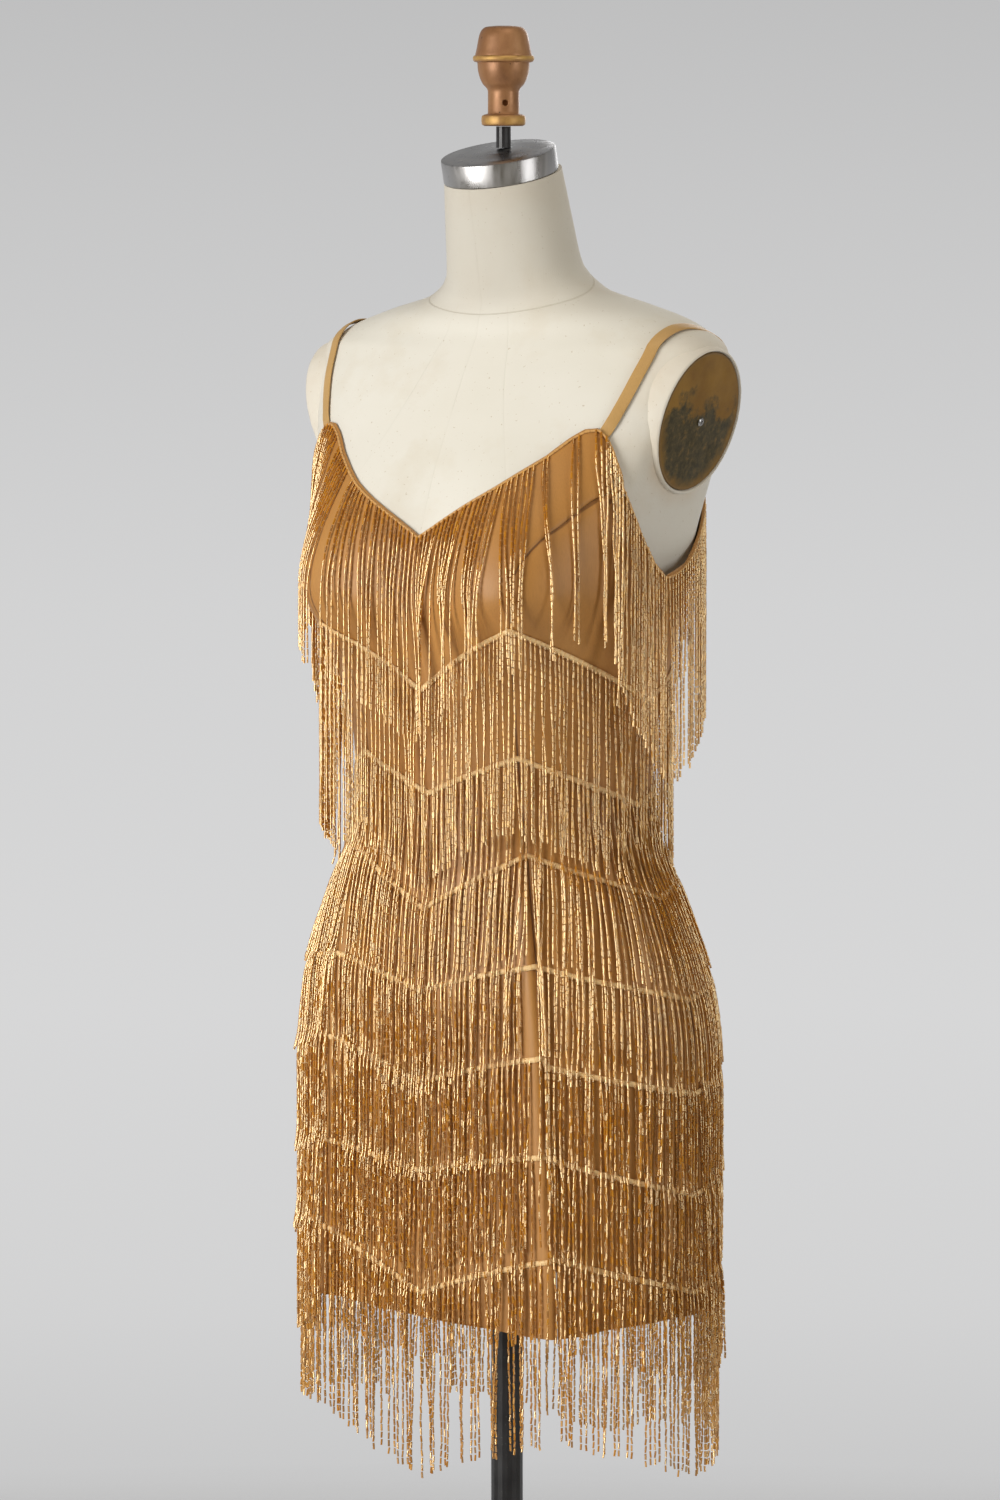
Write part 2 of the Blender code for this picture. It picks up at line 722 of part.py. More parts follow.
def build_fringe(name, surface, corners, tape_lift, strands, length, lift, finish):
    """One closed tape round the body with its strands fused to its lower side."""
    count = len(corners)
    vertices = []
    for i, (angle, height) in enumerate(corners):
        before = corners[i - 1]
        after = corners[(i + 1) % count]
        reach = surface.radius(angle, height)
        run = reach * ((after[0] - before[0]) % math.tau)
        rise = after[1] - before[1]
        span = math.hypot(run, rise)
        for depth, out in ((0, 0), (0, 1), (1, 1), (1, 0)):
            into = EDGE_INSET + depth * TAPE_WIDTH
            turned_angle = angle + into * rise / span / reach
            lowered = height - into * run / span
            radius = surface.radius(turned_angle, lowered) + tape_lift + out * TAPE_THICKNESS
            vertices.append(body_point(turned_angle, lowered, radius))
    faces = []
    with_strand = dict(strands)
    for i in range(count):
        here = 4 * i
        there = 4 * ((i + 1) % count)
        for side in (0, 1, 3):
            other = (side + 1) % 4
            faces.append([here + side, here + other, there + other, there + side])
        under = [here + 2, here + 3, there + 3, there + 2]
        if i not in with_strand:
            faces.append(under)
            continue
        corners = [vertices[k] for k in under]
        reach = ((corners[0] - corners[3]).length + (corners[1] - corners[2]).length) / 2
        share = with_strand[i]
        half = STRAND_WIDTH / 2 / reach
        root = len(vertices)
        for along, across in ((-1, 0.15), (-1, 0.85), (1, 0.85), (1, 0.15)):
            place = share + along * half
            outer = corners[0].lerp(corners[3], place)
            inner = corners[1].lerp(corners[2], place)
            vertices.append(outer.lerp(inner, across))
        for k in range(4):
            m = (k + 1) % 4
            faces.append([under[k], under[m], root + m, root + k])
        middle = sum((vertices[root + k] for k in range(4)), Vector()) / 4
        centre = float(form_section("centre", middle.z))
        angle = math.atan2(middle.x, centre - middle.y)
        lowest = min(vertices[root + k].z for k in range(4))
        above = root
        for height, radius in hang_strand(surface, angle, lowest, length, lift):
            turn = STRAND_WIDTH / 2 / radius
            ring = len(vertices)
            for along, thick in ((-1, 1), (-1, 0), (1, 0), (1, 1)):
                out = radius + thick * STRAND_THICKNESS
                vertices.append(body_point(angle + along * turn, height, out))
            for k in range(4):
                m = (k + 1) % 4
                faces.append([above + k, above + m, ring + m, ring + k])
            above = ring
        faces.append([above, above + 1, above + 2, above + 3])
    return add_object(name, vertices, faces, finish, 50)


def build_all_fringe(surface, finish):
    corners = edge_line()
    strands = strand_places(corners, STRANDS_IN_EDGE, 0.5)
    build_fringe("fringe_edge", surface, corners, EDGE_TAPE_LIFT, strands, EDGE_STRAND_LENGTH,
                 EDGE_STRAND_LIFT, finish)
    for row in range(len(ROWS)):
        corners = line_round(lambda angle, row=row: row_height(row, angle))
        strands = strand_places(corners, STRANDS_IN_ROW, (row % 3) / 3)
        name = "fringe_row_" + str(row + 1)
        length = row_size(row, "length")
        build_fringe(name, surface, corners, TAPE_LIFT, strands, length, STRAND_LIFT, finish)


def main():
    clear_scene()
    canvas = material("canvas", (0.78, 0.75, 0.66), 0.85)
    steel = material("brushed steel", (0.42, 0.42, 0.44), 0.35, 1.0)
    black = material("black enamel", (0.02, 0.02, 0.022), 0.35)
    wood = material("turned wood", (0.33, 0.17, 0.08), 0.45)
    brass = material("aged brass", (0.22, 0.15, 0.05), 0.5, 0.8)
    cloth = material("tan satin", (0.50, 0.30, 0.13), 0.45)
    beads = material("gold beads", (0.66, 0.40, 0.14), 0.25, 0.4)
    build_torso(canvas)
    build_neck_hardware(steel, black, wood)
    build_arm_plates(brass, steel)
    build_stand(black)
    panels = build_dress(cloth)
    strap = build_strap("strap_left", cloth)
    mirrored_object(strap, "strap_right")
    build_all_fringe(ClothSurface(panels), beads)


main()
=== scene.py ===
import math

import bmesh
import bpy
import numpy as np
from mathutils import Matrix, Vector


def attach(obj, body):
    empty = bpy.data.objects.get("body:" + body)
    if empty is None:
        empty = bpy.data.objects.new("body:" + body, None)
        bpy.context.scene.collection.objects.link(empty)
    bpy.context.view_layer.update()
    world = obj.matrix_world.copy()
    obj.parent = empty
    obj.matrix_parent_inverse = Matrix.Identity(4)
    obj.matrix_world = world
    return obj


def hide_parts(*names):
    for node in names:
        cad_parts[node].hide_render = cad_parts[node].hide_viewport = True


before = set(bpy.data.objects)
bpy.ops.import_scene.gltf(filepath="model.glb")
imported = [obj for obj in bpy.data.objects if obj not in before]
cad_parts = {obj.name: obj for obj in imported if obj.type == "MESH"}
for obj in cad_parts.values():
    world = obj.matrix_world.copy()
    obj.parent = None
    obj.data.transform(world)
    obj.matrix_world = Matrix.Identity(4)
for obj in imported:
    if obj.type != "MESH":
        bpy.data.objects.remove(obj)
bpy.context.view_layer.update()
random = np.random.default_rng(26)

CAMERA_AZIMUTH = math.radians(35)

# Body of the form, a row for each level
SECTION_COLUMNS = ("height", "half_width", "front_depth", "back_depth", "squareness", "centre")
SECTIONS = np.array([
    (0.745, 0.163, 0.105, 0.114, 2.10, 0.000),
    (0.800, 0.171, 0.111, 0.121, 2.10, 0.000),
    (0.840, 0.175, 0.114, 0.123, 2.10, 0.000),
    (0.900, 0.168, 0.114, 0.117, 2.10, 0.000),
    (0.960, 0.147, 0.110, 0.103, 2.10, 0.000),
    (1.010, 0.127, 0.105, 0.091, 2.05, 0.000),
    (1.045, 0.121, 0.103, 0.087, 2.00, 0.000),
    (1.090, 0.124, 0.106, 0.089, 2.00, 0.000),
    (1.140, 0.132, 0.113, 0.099, 2.10, 0.000),
    (1.200, 0.143, 0.117, 0.111, 2.20, 0.000),
    (1.250, 0.150, 0.111, 0.126, 2.30, 0.000),
    (1.300, 0.161, 0.102, 0.130, 2.40, 0.004),
    (1.340, 0.175, 0.092, 0.121, 2.40, 0.012),
    (1.379, 0.184, 0.078, 0.103, 2.30, 0.018),
    (1.400, 0.182, 0.069, 0.090, 2.20, 0.021),
    (1.415, 0.160, 0.062, 0.077, 2.10, 0.020),
    (1.4285, 0.122, 0.057, 0.065, 2.00, 0.018),
    (1.442, 0.076, 0.050, 0.057, 2.00, 0.015),
    (1.460, 0.056, 0.048, 0.052, 2.00, 0.010),
    (1.490, 0.052, 0.048, 0.048, 2.00, 0.004),
    (1.535, 0.0465, 0.047, 0.045, 2.00, -0.005),
])
BUST_HEIGHT = 1.215
BUST_ANGLE = math.radians(34)
BUST_DEPTH = 0.034
BUST_SPREAD = math.radians(17)
BUST_RISE_ABOVE = 0.060
BUST_RISE_BELOW = 0.036
HIP_HEIGHT = 0.840
FORM_FOOT = 0.745
NECK_TOP = 1.535
NECK_TILT = 0.245
NECK_TILT_FROM = 1.440
NECK_ROOT_LEAN = 0.13
CAP_CENTRE = -0.008
ROD_CENTRE = -0.0048
FINIAL_FOOT = 1.574
ARM_CUT_CENTRE = (0.1660, 0.020, 1.345)
ARM_CUT_LEAN = math.radians(15)
PLATE_HALF_WIDTH = 0.052
PLATE_HALF_HEIGHT = 0.056

# Cloth of the dress
CLOTH_INNER = 0.0018
CLOTH_OUTER = 0.0032
# Height of the hem by degrees from the middle of the front, plus towards the wearer's left
HEM = np.array([
    (-180.0, 0.6450), (-90.0, 0.6510), (-60.0, 0.6505), (-35.0, 0.6493), (-9.5, 0.6447),
    (9.4, 0.6409), (29.0, 0.6375), (41.0, 0.6329), (50.0, 0.6313), (58.0, 0.6340),
    (63.0, 0.6385), (82.0, 0.6450), (180.0, 0.6450),
])
SIDE_SEAM = math.radians(91.5)
SEAM_HALF_GAP = 0.00015
STRAP_POINT = 1.3405
STRAP_TUCK = 0.006
STRAP_FRONT = math.radians(61.0)
STRAP_BACK = math.radians(142.1)
STRAP_REACH = 0.157
STRAP_HALF_WIDTH = 0.0048
STRAP_HALF_THICKNESS = 0.00075
# Degrees of the princess seam from the middle of the front, by height
PRINCESS_SEAM = np.array([
    (0.630, 50.5), (0.700, 50.0), (0.780, 48.0), (0.860, 46.5), (0.930, 44.5), (1.010, 42.5),
    (1.090, 39.0), (1.150, 37.0), (1.190, 36.0), (1.222, 36.2), (1.239, 39.2), (1.254, 44.3),
    (1.268, 51.8), (1.284, 59.8), (1.297, 68.3), (1.320, 65.2), (1.334, 62.6), (1.3405, 60.5),
])
# Height of the upper edge by degrees, from the front to the strap and then round the back
NECKLINE = np.array([
    (0.0, 1.256), (15.0, 1.2755), (30.0, 1.2955), (46.0, 1.319), (53.0, 1.333), (57.0, 1.3395),
    (60.5, 1.3405),
])
BACK_EDGE = np.array([
    (68.3, 1.297), (73.0, 1.276), (79.0, 1.252), (85.5, 1.233), (91.5, 1.224), (104.1, 1.233),
    (116.8, 1.258), (129.4, 1.283), (142.1, 1.300), (154.7, 1.287), (167.4, 1.278),
    (180.0, 1.273),
])

# Rounds of fringe from bust to hem. Height of the braid at the middle of the front, before and
# beyond the left princess seam, at the left side, at the right princess seam and at the right
# side, then the length of the strands and how far their beads tip, in radians
ROWS = np.array([
    (1.140, 1.188, 1.187, 1.128, 1.188, 1.128, 0.152, 0.026),
    (1.059, 1.086, 1.086, 1.046, 1.086, 1.046, 0.150, 0.028),
    (0.969, 1.0105, 1.0105, 0.974, 1.0105, 0.974, 0.148, 0.034),
    (0.905, 0.926, 0.925, 0.896, 0.928, 0.898, 0.147, 0.075),
    (0.833, 0.855, 0.848, 0.822, 0.862, 0.834, 0.146, 0.130),
    (0.763, 0.778, 0.775, 0.742, 0.778, 0.752, 0.143, 0.150),
    (0.667, 0.697, 0.697, 0.666, 0.711, 0.707, 0.141, 0.150),
])
EDGE_ROW = -1
EDGE_STRAND_LENGTH = 0.155
EDGE_TIP = 0.022
# Width of each braid and how far it stands off the cloth
EDGE_CORD = (0.0020, 0.0004)
ROW_BRAID = (0.0042, 0.0011)
STRAND_PITCH = 0.0047
BROKEN_SHARE = 0.04
STRAY_SHARE = 0.06
LEANING_SHARE = 0.6
BEAD_PITCH = 0.0057
BEAD_RADIUS = 0.00086
THREAD_RADIUS = 0.00035
# Ridge of cloth that stands beside each princess seam below the waist
RIDGE = 0.0056
RIDGE_STARTS = 1.03
RIDGE_FULL = 0.90
RIDGE_WIDTH = math.radians(3.4)
RIDGE_BEFORE_SEAM = math.radians(3.0)
# Bare places along the upper edge, in degrees from the middle of the front
EDGE_GAPS = ((43.4, 44.8), (47.6, 52.4), (56.4, 58.2), (-37.0, -33.5), (-52.0, -49.0))


# Shape of the form and of the cloth on it

def smooth(table, column, x):
    """Read a column by the first one, on a smooth curve that never overshoots the rows."""
    xs = table[:, 0]
    ys = table[:, column]
    steps = np.diff(xs)
    slopes = np.diff(ys) / steps
    tangents = np.zeros(len(xs))
    tangents[0] = slopes[0]
    tangents[-1] = slopes[-1]
    for i in range(1, len(xs) - 1):
        if slopes[i - 1] * slopes[i] > 0:
            after = 2 * steps[i] + steps[i - 1]
            before = steps[i] + 2 * steps[i - 1]
            tangents[i] = (after + before) / (after / slopes[i - 1] + before / slopes[i])
    x = np.clip(x, xs[0], xs[-1])
    i = np.clip(np.searchsorted(xs, x, side="right") - 1, 0, len(xs) - 2)
    t = (x - xs[i]) / steps[i]
    start = (1 + 2 * t) * (1 - t) ** 2 * ys[i] + t * (1 - t) ** 2 * steps[i] * tangents[i]
    end = t * t * (3 - 2 * t) * ys[i + 1] + t * t * (t - 1) * steps[i] * tangents[i + 1]
    return start + end


def ease(value, start, end):
    """0 at the start and 1 at the end, softly between them."""
    t = np.clip((value - start) / (end - start), 0, 1)
    return t * t * (3 - 2 * t)


def wrapped(angle):
    """The same direction as an angle between minus and plus half a turn."""
    return (angle + math.pi) % math.tau - math.pi


def section(name, height):
    return smooth(SECTIONS, SECTION_COLUMNS.index(name), height)


def form_radius(angle, height):
    """The form's reach at an angle and height: a rounded section with the two busts on it."""
    half_width = section("half_width", height)
    power = section("squareness", height)
    depth = np.where(np.cos(angle) > 0, section("front_depth", height),
                     section("back_depth", height))
    across = np.abs(np.sin(angle)) / half_width
    along = np.abs(np.cos(angle)) / depth
    radius = (across ** power + along ** power) ** (-1 / power)
    rise = np.where(height > BUST_HEIGHT, BUST_RISE_ABOVE, BUST_RISE_BELOW)
    level = np.exp(-((height - BUST_HEIGHT) / rise) ** 2 / 2)
    for side in (-1, 1):
        off_centre = (wrapped(angle) - side * BUST_ANGLE) / BUST_SPREAD
        radius = radius + BUST_DEPTH * level * np.exp(-off_centre ** 2 / 2)
    return radius


def princess_angle(height):
    return np.radians(smooth(PRINCESS_SEAM, 1, height))


def place(angle, height, radius):
    """Points of the row frame at these angles, heights and distances from the body's centre."""
    angle, height, radius = np.broadcast_arrays(angle, height, radius)
    centre = section("centre", height)
    points = (radius * np.sin(angle), centre - radius * np.cos(angle), height)
    return np.stack(points, axis=-1).astype(float)


def polar(points):
    """Angles and distances of points from the body's centre."""
    centre = section("centre", points[..., 2])
    x = points[..., 0]
    y = centre - points[..., 1]
    return np.arctan2(x, y), np.hypot(x, y)


def cloth_radius(angle, height, out=CLOTH_OUTER):
    """The cloth's reach: it follows the form as far as the hips and hangs straight below."""
    beside = np.abs(wrapped(angle)) - princess_angle(height)
    ridge = RIDGE * np.exp(-((beside + RIDGE_BEFORE_SEAM) / RIDGE_WIDTH) ** 2)
    ridge = ridge * ease(height, RIDGE_STARTS, RIDGE_FULL)
    return form_radius(angle, np.maximum(height, HIP_HEIGHT)) + out + ridge


def beyond_cloth(points):
    angle, reach = polar(points)
    return reach - cloth_radius(angle, points[..., 2])


def cloth_normal(points):
    """The direction straight out of the cloth, from how fast points near it leave the cloth."""
    step = 0.0015
    slopes = []
    for axis in np.eye(3) * step:
        slopes.append(beyond_cloth(points + axis) - beyond_cloth(points - axis))
    return unit(np.stack(slopes, axis=-1))


def unit(vectors):
    return vectors / np.linalg.norm(vectors, axis=-1, keepdims=True)


def directions(points, along):
    """Unit directions across a line that runs on the cloth, and out of the cloth."""
    along = unit(along)
    normal = cloth_normal(points)
    normal = unit(normal - along * np.sum(normal * along, axis=1, keepdims=True))
    return np.cross(along, normal), normal


def signed_degrees(angle):
    return np.degrees(wrapped(angle))


def neckline_height(angle):
    return np.interp(np.abs(signed_degrees(angle)), NECKLINE[:, 0], NECKLINE[:, 1])


def back_edge_height(angle):
    return np.interp(np.abs(signed_degrees(angle)), BACK_EDGE[:, 0], BACK_EDGE[:, 1])


def hem_height(angle):
    return np.interp(signed_degrees(angle), HEM[:, 0], HEM[:, 1])


def braid_height(row, angle):
    """Height of a round's braid, which dips a little at the middle of the front."""
    middle, peak, beyond, side, right_peak, right_side = ROWS[row, :6]
    peak_at = np.degrees(princess_angle(peak))
    places = (-180, peak_at - 180, -90, -peak_at, 0, peak_at - 0.2, peak_at + 0.2, 90,
              180 - peak_at, 180)
    heights = (middle, peak - 0.004, right_side, right_peak, middle, peak, beyond, side,
               peak - 0.004, middle)
    sagged = np.interp(signed_degrees(angle), places, heights)
    return sagged - 0.002 * np.exp(-(signed_degrees(angle) / 12) ** 2)


# Meshes

def linked(name, data):
    """A new object in the scene for a mesh, a lamp or a camera."""
    made = bpy.data.objects.new(name, data)
    bpy.context.scene.collection.objects.link(made)
    return made


def mesh_object(name, vertices, faces, finish, smooth_degrees):
    """A piece shaded smooth, but for edges sharper than some degrees."""
    mesh = bpy.data.meshes.new(name)
    mesh.from_pydata(np.asarray(vertices, float).tolist(), [], faces)
    work = bmesh.new()
    work.from_mesh(mesh)
    bmesh.ops.recalc_face_normals(work, faces=work.faces[:])
    work.to_mesh(mesh)
    work.free()
    mesh.shade_smooth()
    mesh.set_sharp_from_angle(angle=math.radians(smooth_degrees))
    mesh.materials.append(finish)
    return linked(name, mesh)


def points_of(made):
    return np.array([v.co for v in made.data.vertices])


def keep_value(made, name, values):
    """Store a number for each point of a piece, which its finish reads."""
    layer = made.data.attributes.new(name, "FLOAT", "POINT")
    layer.data.foreach_set("value", np.asarray(values).reshape(-1).astype(np.float32))


def settle(made):
    """Turn what a piece's modifiers make into its own mesh."""
    evaluated = made.evaluated_get(bpy.context.evaluated_depsgraph_get())
    real = bpy.data.meshes.new_from_object(evaluated)
    made.modifiers.clear()
    made.data = real


def cut_away(made, cutter):
    cut = made.modifiers.new("cut", "BOOLEAN")
    cut.object = cutter
    cut.solver = "EXACT"
    settle(made)


def grid_faces(rows, columns, closed, first=0):
    """Faces of a grid whose points run along each row in turn."""
    faces = []
    for row in range(rows - 1):
        for i in range(columns if closed else columns - 1):
            j = (i + 1) % columns
            a = first + row * columns
            faces.append([a + i, a + j, a + columns + j, a + columns + i])
    return faces


def tube_faces(rows, columns, first=0):
    """Faces of a tube with flat ends."""
    last = first + (rows - 1) * columns
    ends = [list(range(start, start + columns)) for start in (first, last)]
    return grid_faces(rows, columns, True, first) + ends


def loop_faces(rows, columns):
    """Faces of a tube that runs back into its own start."""
    last = (rows - 1) * columns
    joint = [[last + i, last + (i + 1) % columns, (i + 1) % columns, i] for i in range(columns)]
    return grid_faces(rows, columns, True) + joint


def add_piece(made, slot, *nodes):
    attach(made, "root")
    if nodes:
        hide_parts(*nodes)
    return made


def turned(name, profile, finish, sides=96, put=None, squash=1.0, smooth_degrees=40):
    """A solid turned about Z from (height, radius) pairs that run from low to high."""
    angles = np.arange(sides) * math.tau / sides
    rings = []
    for height, radius in profile:
        ring = (radius * np.cos(angles), radius * squash * np.sin(angles), height + 0 * angles)
        rings.append(np.stack(ring, axis=1))
    made = mesh_object(name, np.concatenate(rings), tube_faces(len(profile), sides), finish,
                       smooth_degrees)
    if put is not None:
        made.data.transform(put)
    return made


def rounded_profile(table, steps):
    """A turned piece's outline through the table's rows, cut finely on a smooth curve."""
    table = np.asarray(table, float)
    run = np.concatenate(([0], np.cumsum(np.linalg.norm(np.diff(table, axis=0), axis=1))))
    along = np.column_stack((run, table))
    where = np.unique(np.concatenate([np.linspace(a, b, steps + 1)
                                      for a, b in zip(run[:-1], run[1:])]))
    return list(zip(smooth(along, 1, where), smooth(along, 2, where)))


# Finishes

class Nodes:
    """A node tree while it is made: nodes are added one by one and wired up."""

    def __init__(self, tree):
        self.tree = tree

    def wire(self, node, key, value):
        if isinstance(value, bpy.types.NodeSocket):
            self.tree.links.new(value, node.inputs[key])
        elif isinstance(value, tuple) and len(value) == 3 and node.inputs[key].type == "RGBA":
            node.inputs[key].default_value = (*value, 1.0)
        else:
            node.inputs[key].default_value = value

    def add(self, kind, inputs=(), out=0, **settings):
        node = self.tree.nodes.new(kind)
        for key, value in settings.items():
            setattr(node, key, value)
        for key, value in dict(inputs).items():
            self.wire(node, key, value)
        return node.outputs[out]

    def ramp(self, value, *stops):
        """Colour or grey by value: each stop is (place, colour or grey)."""
        result = self.add("ShaderNodeValToRGB", {"Fac": value})
        ramp = result.node.color_ramp
        while len(ramp.elements) < len(stops):
            ramp.elements.new(0.5)
        for element, (at, colour) in zip(ramp.elements, stops):
            element.position = at
            shade = colour if isinstance(colour, tuple) else (colour, colour, colour)
            element.color = (*shade, 1.0)
        return result

    def mix(self, share, first, second, blend="MIX"):
        result = self.add("ShaderNodeMix", out=2, data_type="RGBA", blend_type=blend)
        for key, value in ((0, share), (6, first), (7, second)):
            self.wire(result.node, key, value)
        return result

    def math(self, operation, first, second=0.0, clamp=False):
        return self.add("ShaderNodeMath", {0: first, 1: second}, operation=operation,
                        use_clamp=clamp)


class Finish(Nodes):
    """A material while it is made. Values are given by the names of the shader's sockets."""

    def __init__(self, name, **values):
        self.made = bpy.data.materials.new(name)
        self.made.use_nodes = True
        super().__init__(self.made.node_tree)
        self.finish(**values)

    def finish(self, **values):
        for key, value in values.items():
            self.wire(self.tree.nodes["Principled BSDF"], key.replace("_", " "), value)
        return self.made

    def coordinates(self, scale=(1, 1, 1)):
        place_in = self.add("ShaderNodeTexCoord", out="Object")
        return self.add("ShaderNodeMapping", {"Vector": place_in, "Scale": scale})

    def noise(self, scale, detail, stretch=(1, 1, 1), roughness=0.5):
        return self.add("ShaderNodeTexNoise", {
            "Vector": self.coordinates(stretch), "Scale": scale, "Detail": detail,
            "Roughness": roughness})

    def value(self, name):
        return self.add("ShaderNodeAttribute", out="Fac", attribute_name=name)

    def line(self, name, width):
        """1 on a seam, 0 away from it, from the distance kept in an attribute."""
        away = self.math("ABSOLUTE", self.value(name))
        return self.ramp(self.math("DIVIDE", away, width, clamp=True), (0.0, 1.0), (1.0, 0.0))

    def bump(self, height, strength, distance, normal=None):
        inputs = {"Height": height, "Strength": strength, "Distance": distance}
        if normal is not None:
            inputs["Normal"] = normal
        return self.add("ShaderNodeBump", inputs)


def canvas_finish():
    f = Finish("cream canvas", Roughness=0.82, Specular_IOR_Level=0.25, Sheen_Weight=0.12)
    tone = f.ramp(f.noise(9, 4), (0.3, (0.755, 0.738, 0.675)), (0.7, (0.72, 0.698, 0.625)))
    stain = f.ramp(f.noise(14, 5, roughness=0.62), (0.54, 0.0), (0.76, 0.30))
    tone = f.mix(stain, tone, (0.57, 0.48, 0.33))
    specks = f.ramp(f.noise(420, 2), (0.70, 0.0), (0.74, 0.5))
    tone = f.mix(specks, tone, (0.40, 0.31, 0.19))
    # Warm darkening: worn canvas round the arm cuts, painted shade on the neck, and darker towards
    # the sides.
    grime_and_shade = f.math("MULTIPLY", f.value("rub"), f.ramp(f.noise(30, 4), (0.3, 0.35), (0.7, 0.8)))
    tone = f.mix(grime_and_shade, tone, (0.64, 0.51, 0.37))
    # Painted shade: the neck is darkened to a grey-brown, standing in for the lesser light there.
    tone = f.mix(f.math("MULTIPLY", f.value("neck"), 0.5), tone, (0.46, 0.435, 0.375))
    seam = f.math("MAXIMUM", f.line("front_seam", 0.0006), f.line("shoulder_seam", 0.0006))
    seam = f.math("MAXIMUM", seam, f.line("shape_seam", 0.0005))
    seam = f.math("MULTIPLY", seam, f.ramp(f.noise(40, 2), (0.4, 0.35), (0.65, 1.0)))
    seam = f.math("MAXIMUM", f.math("MULTIPLY", seam, 0.45), f.line("neck_seam", 0.0007))
    tone = f.mix(f.math("MULTIPLY", seam, 0.34), tone, (0.40, 0.35, 0.25))
    weave = []
    for stretch, scale, way in (((1, 1, 1), 420, "Z"), ((1, 0.6, 0), 380, "X")):
        inputs = {"Vector": f.coordinates(stretch), "Scale": scale, "Distortion": 1.0}
        ribs = f.add("ShaderNodeTexWave", inputs, out=1, bands_direction=way)
        weave.append(f.math("MULTIPLY", ribs, 0.5))
    relief = f.bump(f.math("ADD", *weave), 0.22, 0.0003)
    relief = f.bump(f.noise(60, 3), 0.10, 0.0012, relief)
    relief = f.bump(seam, 0.5, -0.0009, relief)
    return f.finish(Base_Color=tone, Normal=relief)


def steel_finish(name, scratch):
    f = Finish(name, Metallic=1.0, Anisotropic=0.5)
    lines = f.noise(9, 3, scratch)
    grey = f.ramp(lines, (0.3, (0.36, 0.355, 0.355)), (0.7, (0.47, 0.465, 0.465)))
    marks = f.ramp(f.noise(160, 4), (0.62, 0.0), (0.72, 0.5))
    grey = f.mix(marks, grey, (0.16, 0.155, 0.15))
    rough = f.ramp(lines, (0.3, 0.24), (0.7, 0.40))
    return f.finish(Base_Color=grey, Roughness=rough,
                    Normal=f.bump(lines, 0.12, 0.0004))


def black_finish():
    f = Finish("black enamel", Specular_IOR_Level=0.45)
    haze = f.noise(35, 5)
    tone = f.ramp(haze, (0.35, (0.012, 0.012, 0.014)), (0.75, (0.030, 0.030, 0.032)))
    dust = f.ramp(f.noise(700, 1), (0.74, 0.0), (0.77, 0.5))
    tone = f.mix(dust, tone, (0.20, 0.20, 0.19))
    rough = f.ramp(haze, (0.3, 0.26), (0.7, 0.42))
    return f.finish(Base_Color=tone, Roughness=rough, Normal=f.bump(f.noise(260, 2), 0.06, 0.0004))


def wood_finish():
    f = Finish("turned wood, worn gilding", Metallic=0.35)
    base = f.ramp(f.noise(55, 6, (1, 1, 0.6), 0.65),
                  (0.25, (0.20, 0.088, 0.034)), (0.5, (0.36, 0.175, 0.072)),
                  (0.78, (0.48, 0.260, 0.115)))
    grain = f.ramp(f.noise(26, 4, (1, 1, 0.12)), (0.42, 0.0), (0.6, 0.35))
    base = f.mix(grain, base, (0.20, 0.088, 0.036))
    patches = f.ramp(f.noise(120, 4), (0.30, 0.2), (0.6, 1.0))
    worn = f.math("MULTIPLY", f.value("edge_wear"), patches)
    base = f.mix(worn, base, (0.55, 0.33, 0.09))
    # Small near-black specks in the colour.
    dark_specks = f.ramp(f.noise(300, 1), (0.755, 0.0), (0.77, 1.0))
    base = f.mix(dark_specks, base, (0.02, 0.014, 0.010))
    rough = f.ramp(f.noise(60, 4), (0.3, 0.36), (0.7, 0.56))
    return f.finish(Base_Color=base, Roughness=rough,
                    Normal=f.bump(f.noise(130, 5), 0.28, 0.0007))


def brass_finish():
    f = Finish("aged brass plate", Metallic=0.55, Specular_IOR_Level=0.5)
    bright = f.ramp(f.noise(26, 5, (1, 1, 1), 0.6), (0.3, (0.23, 0.112, 0.013)),
                    (0.7, (0.36, 0.190, 0.026)))
    dark = f.ramp(f.noise(190, 5, roughness=0.65), (0.38, (0.050, 0.038, 0.011)),
                  (0.58, (0.098, 0.070, 0.021)), (0.66, (0.19, 0.110, 0.028)))
    cloud = f.noise(48, 6, roughness=0.68)
    lower = f.math("ADD", f.value("plate_height"), f.math("MULTIPLY", cloud, 1.1))
    share = f.ramp(f.math("MULTIPLY", lower, 0.5), (0.545, 1.0), (0.615, 0.0))
    inside = f.math("ADD", f.value("plate_rim"), f.math("MULTIPLY", cloud, 0.5))
    inside = f.ramp(f.math("MULTIPLY", inside, 0.7), (0.74, 1.0), (0.84, 0.3))
    share = f.math("MULTIPLY", share, inside)
    tone = f.mix(share, bright, dark)
    rim = f.ramp(f.value("plate_rim"), (0.955, 0.0), (0.985, 1.0))
    tone = f.mix(rim, tone, (0.23, 0.135, 0.045))
    rough = f.ramp(cloud, (0.3, 0.34), (0.7, 0.55))
    return f.finish(Base_Color=tone, Roughness=rough,
                    Normal=f.bump(f.noise(220, 4), 0.12, 0.0004))


def satin_finish(name, light, dark):
    f = Finish(name, Roughness=0.46, Sheen_Weight=0.2, Sheen_Roughness=0.35,
               Sheen_Tint=(1.0, 0.80, 0.52), Specular_IOR_Level=0.42, Anisotropic=0.35)
    tone = f.ramp(f.noise(11, 4), (0.3, dark), (0.7, light))
    thread = f.noise(1500, 2, (1, 1, 0.08))
    tone = f.mix(f.ramp(thread, (0.4, 0.0), (0.7, 0.22)), tone, tuple(0.62 * c for c in dark))
    # Painted shade: a dark line along each seam stands in for the shade in the seam's crease. The
    # groove itself is also shaped in the cloth.
    tone = f.mix(f.ramp(f.value("seam"), (0.885, 0.0), (0.94, 0.8)), tone, (0.16, 0.06, 0.012))
    relief = f.bump(thread, 0.16, 0.00025)
    relief = f.bump(f.noise(75, 3), 0.20, 0.0008, relief)
    return f.finish(Base_Color=tone, Normal=relief)


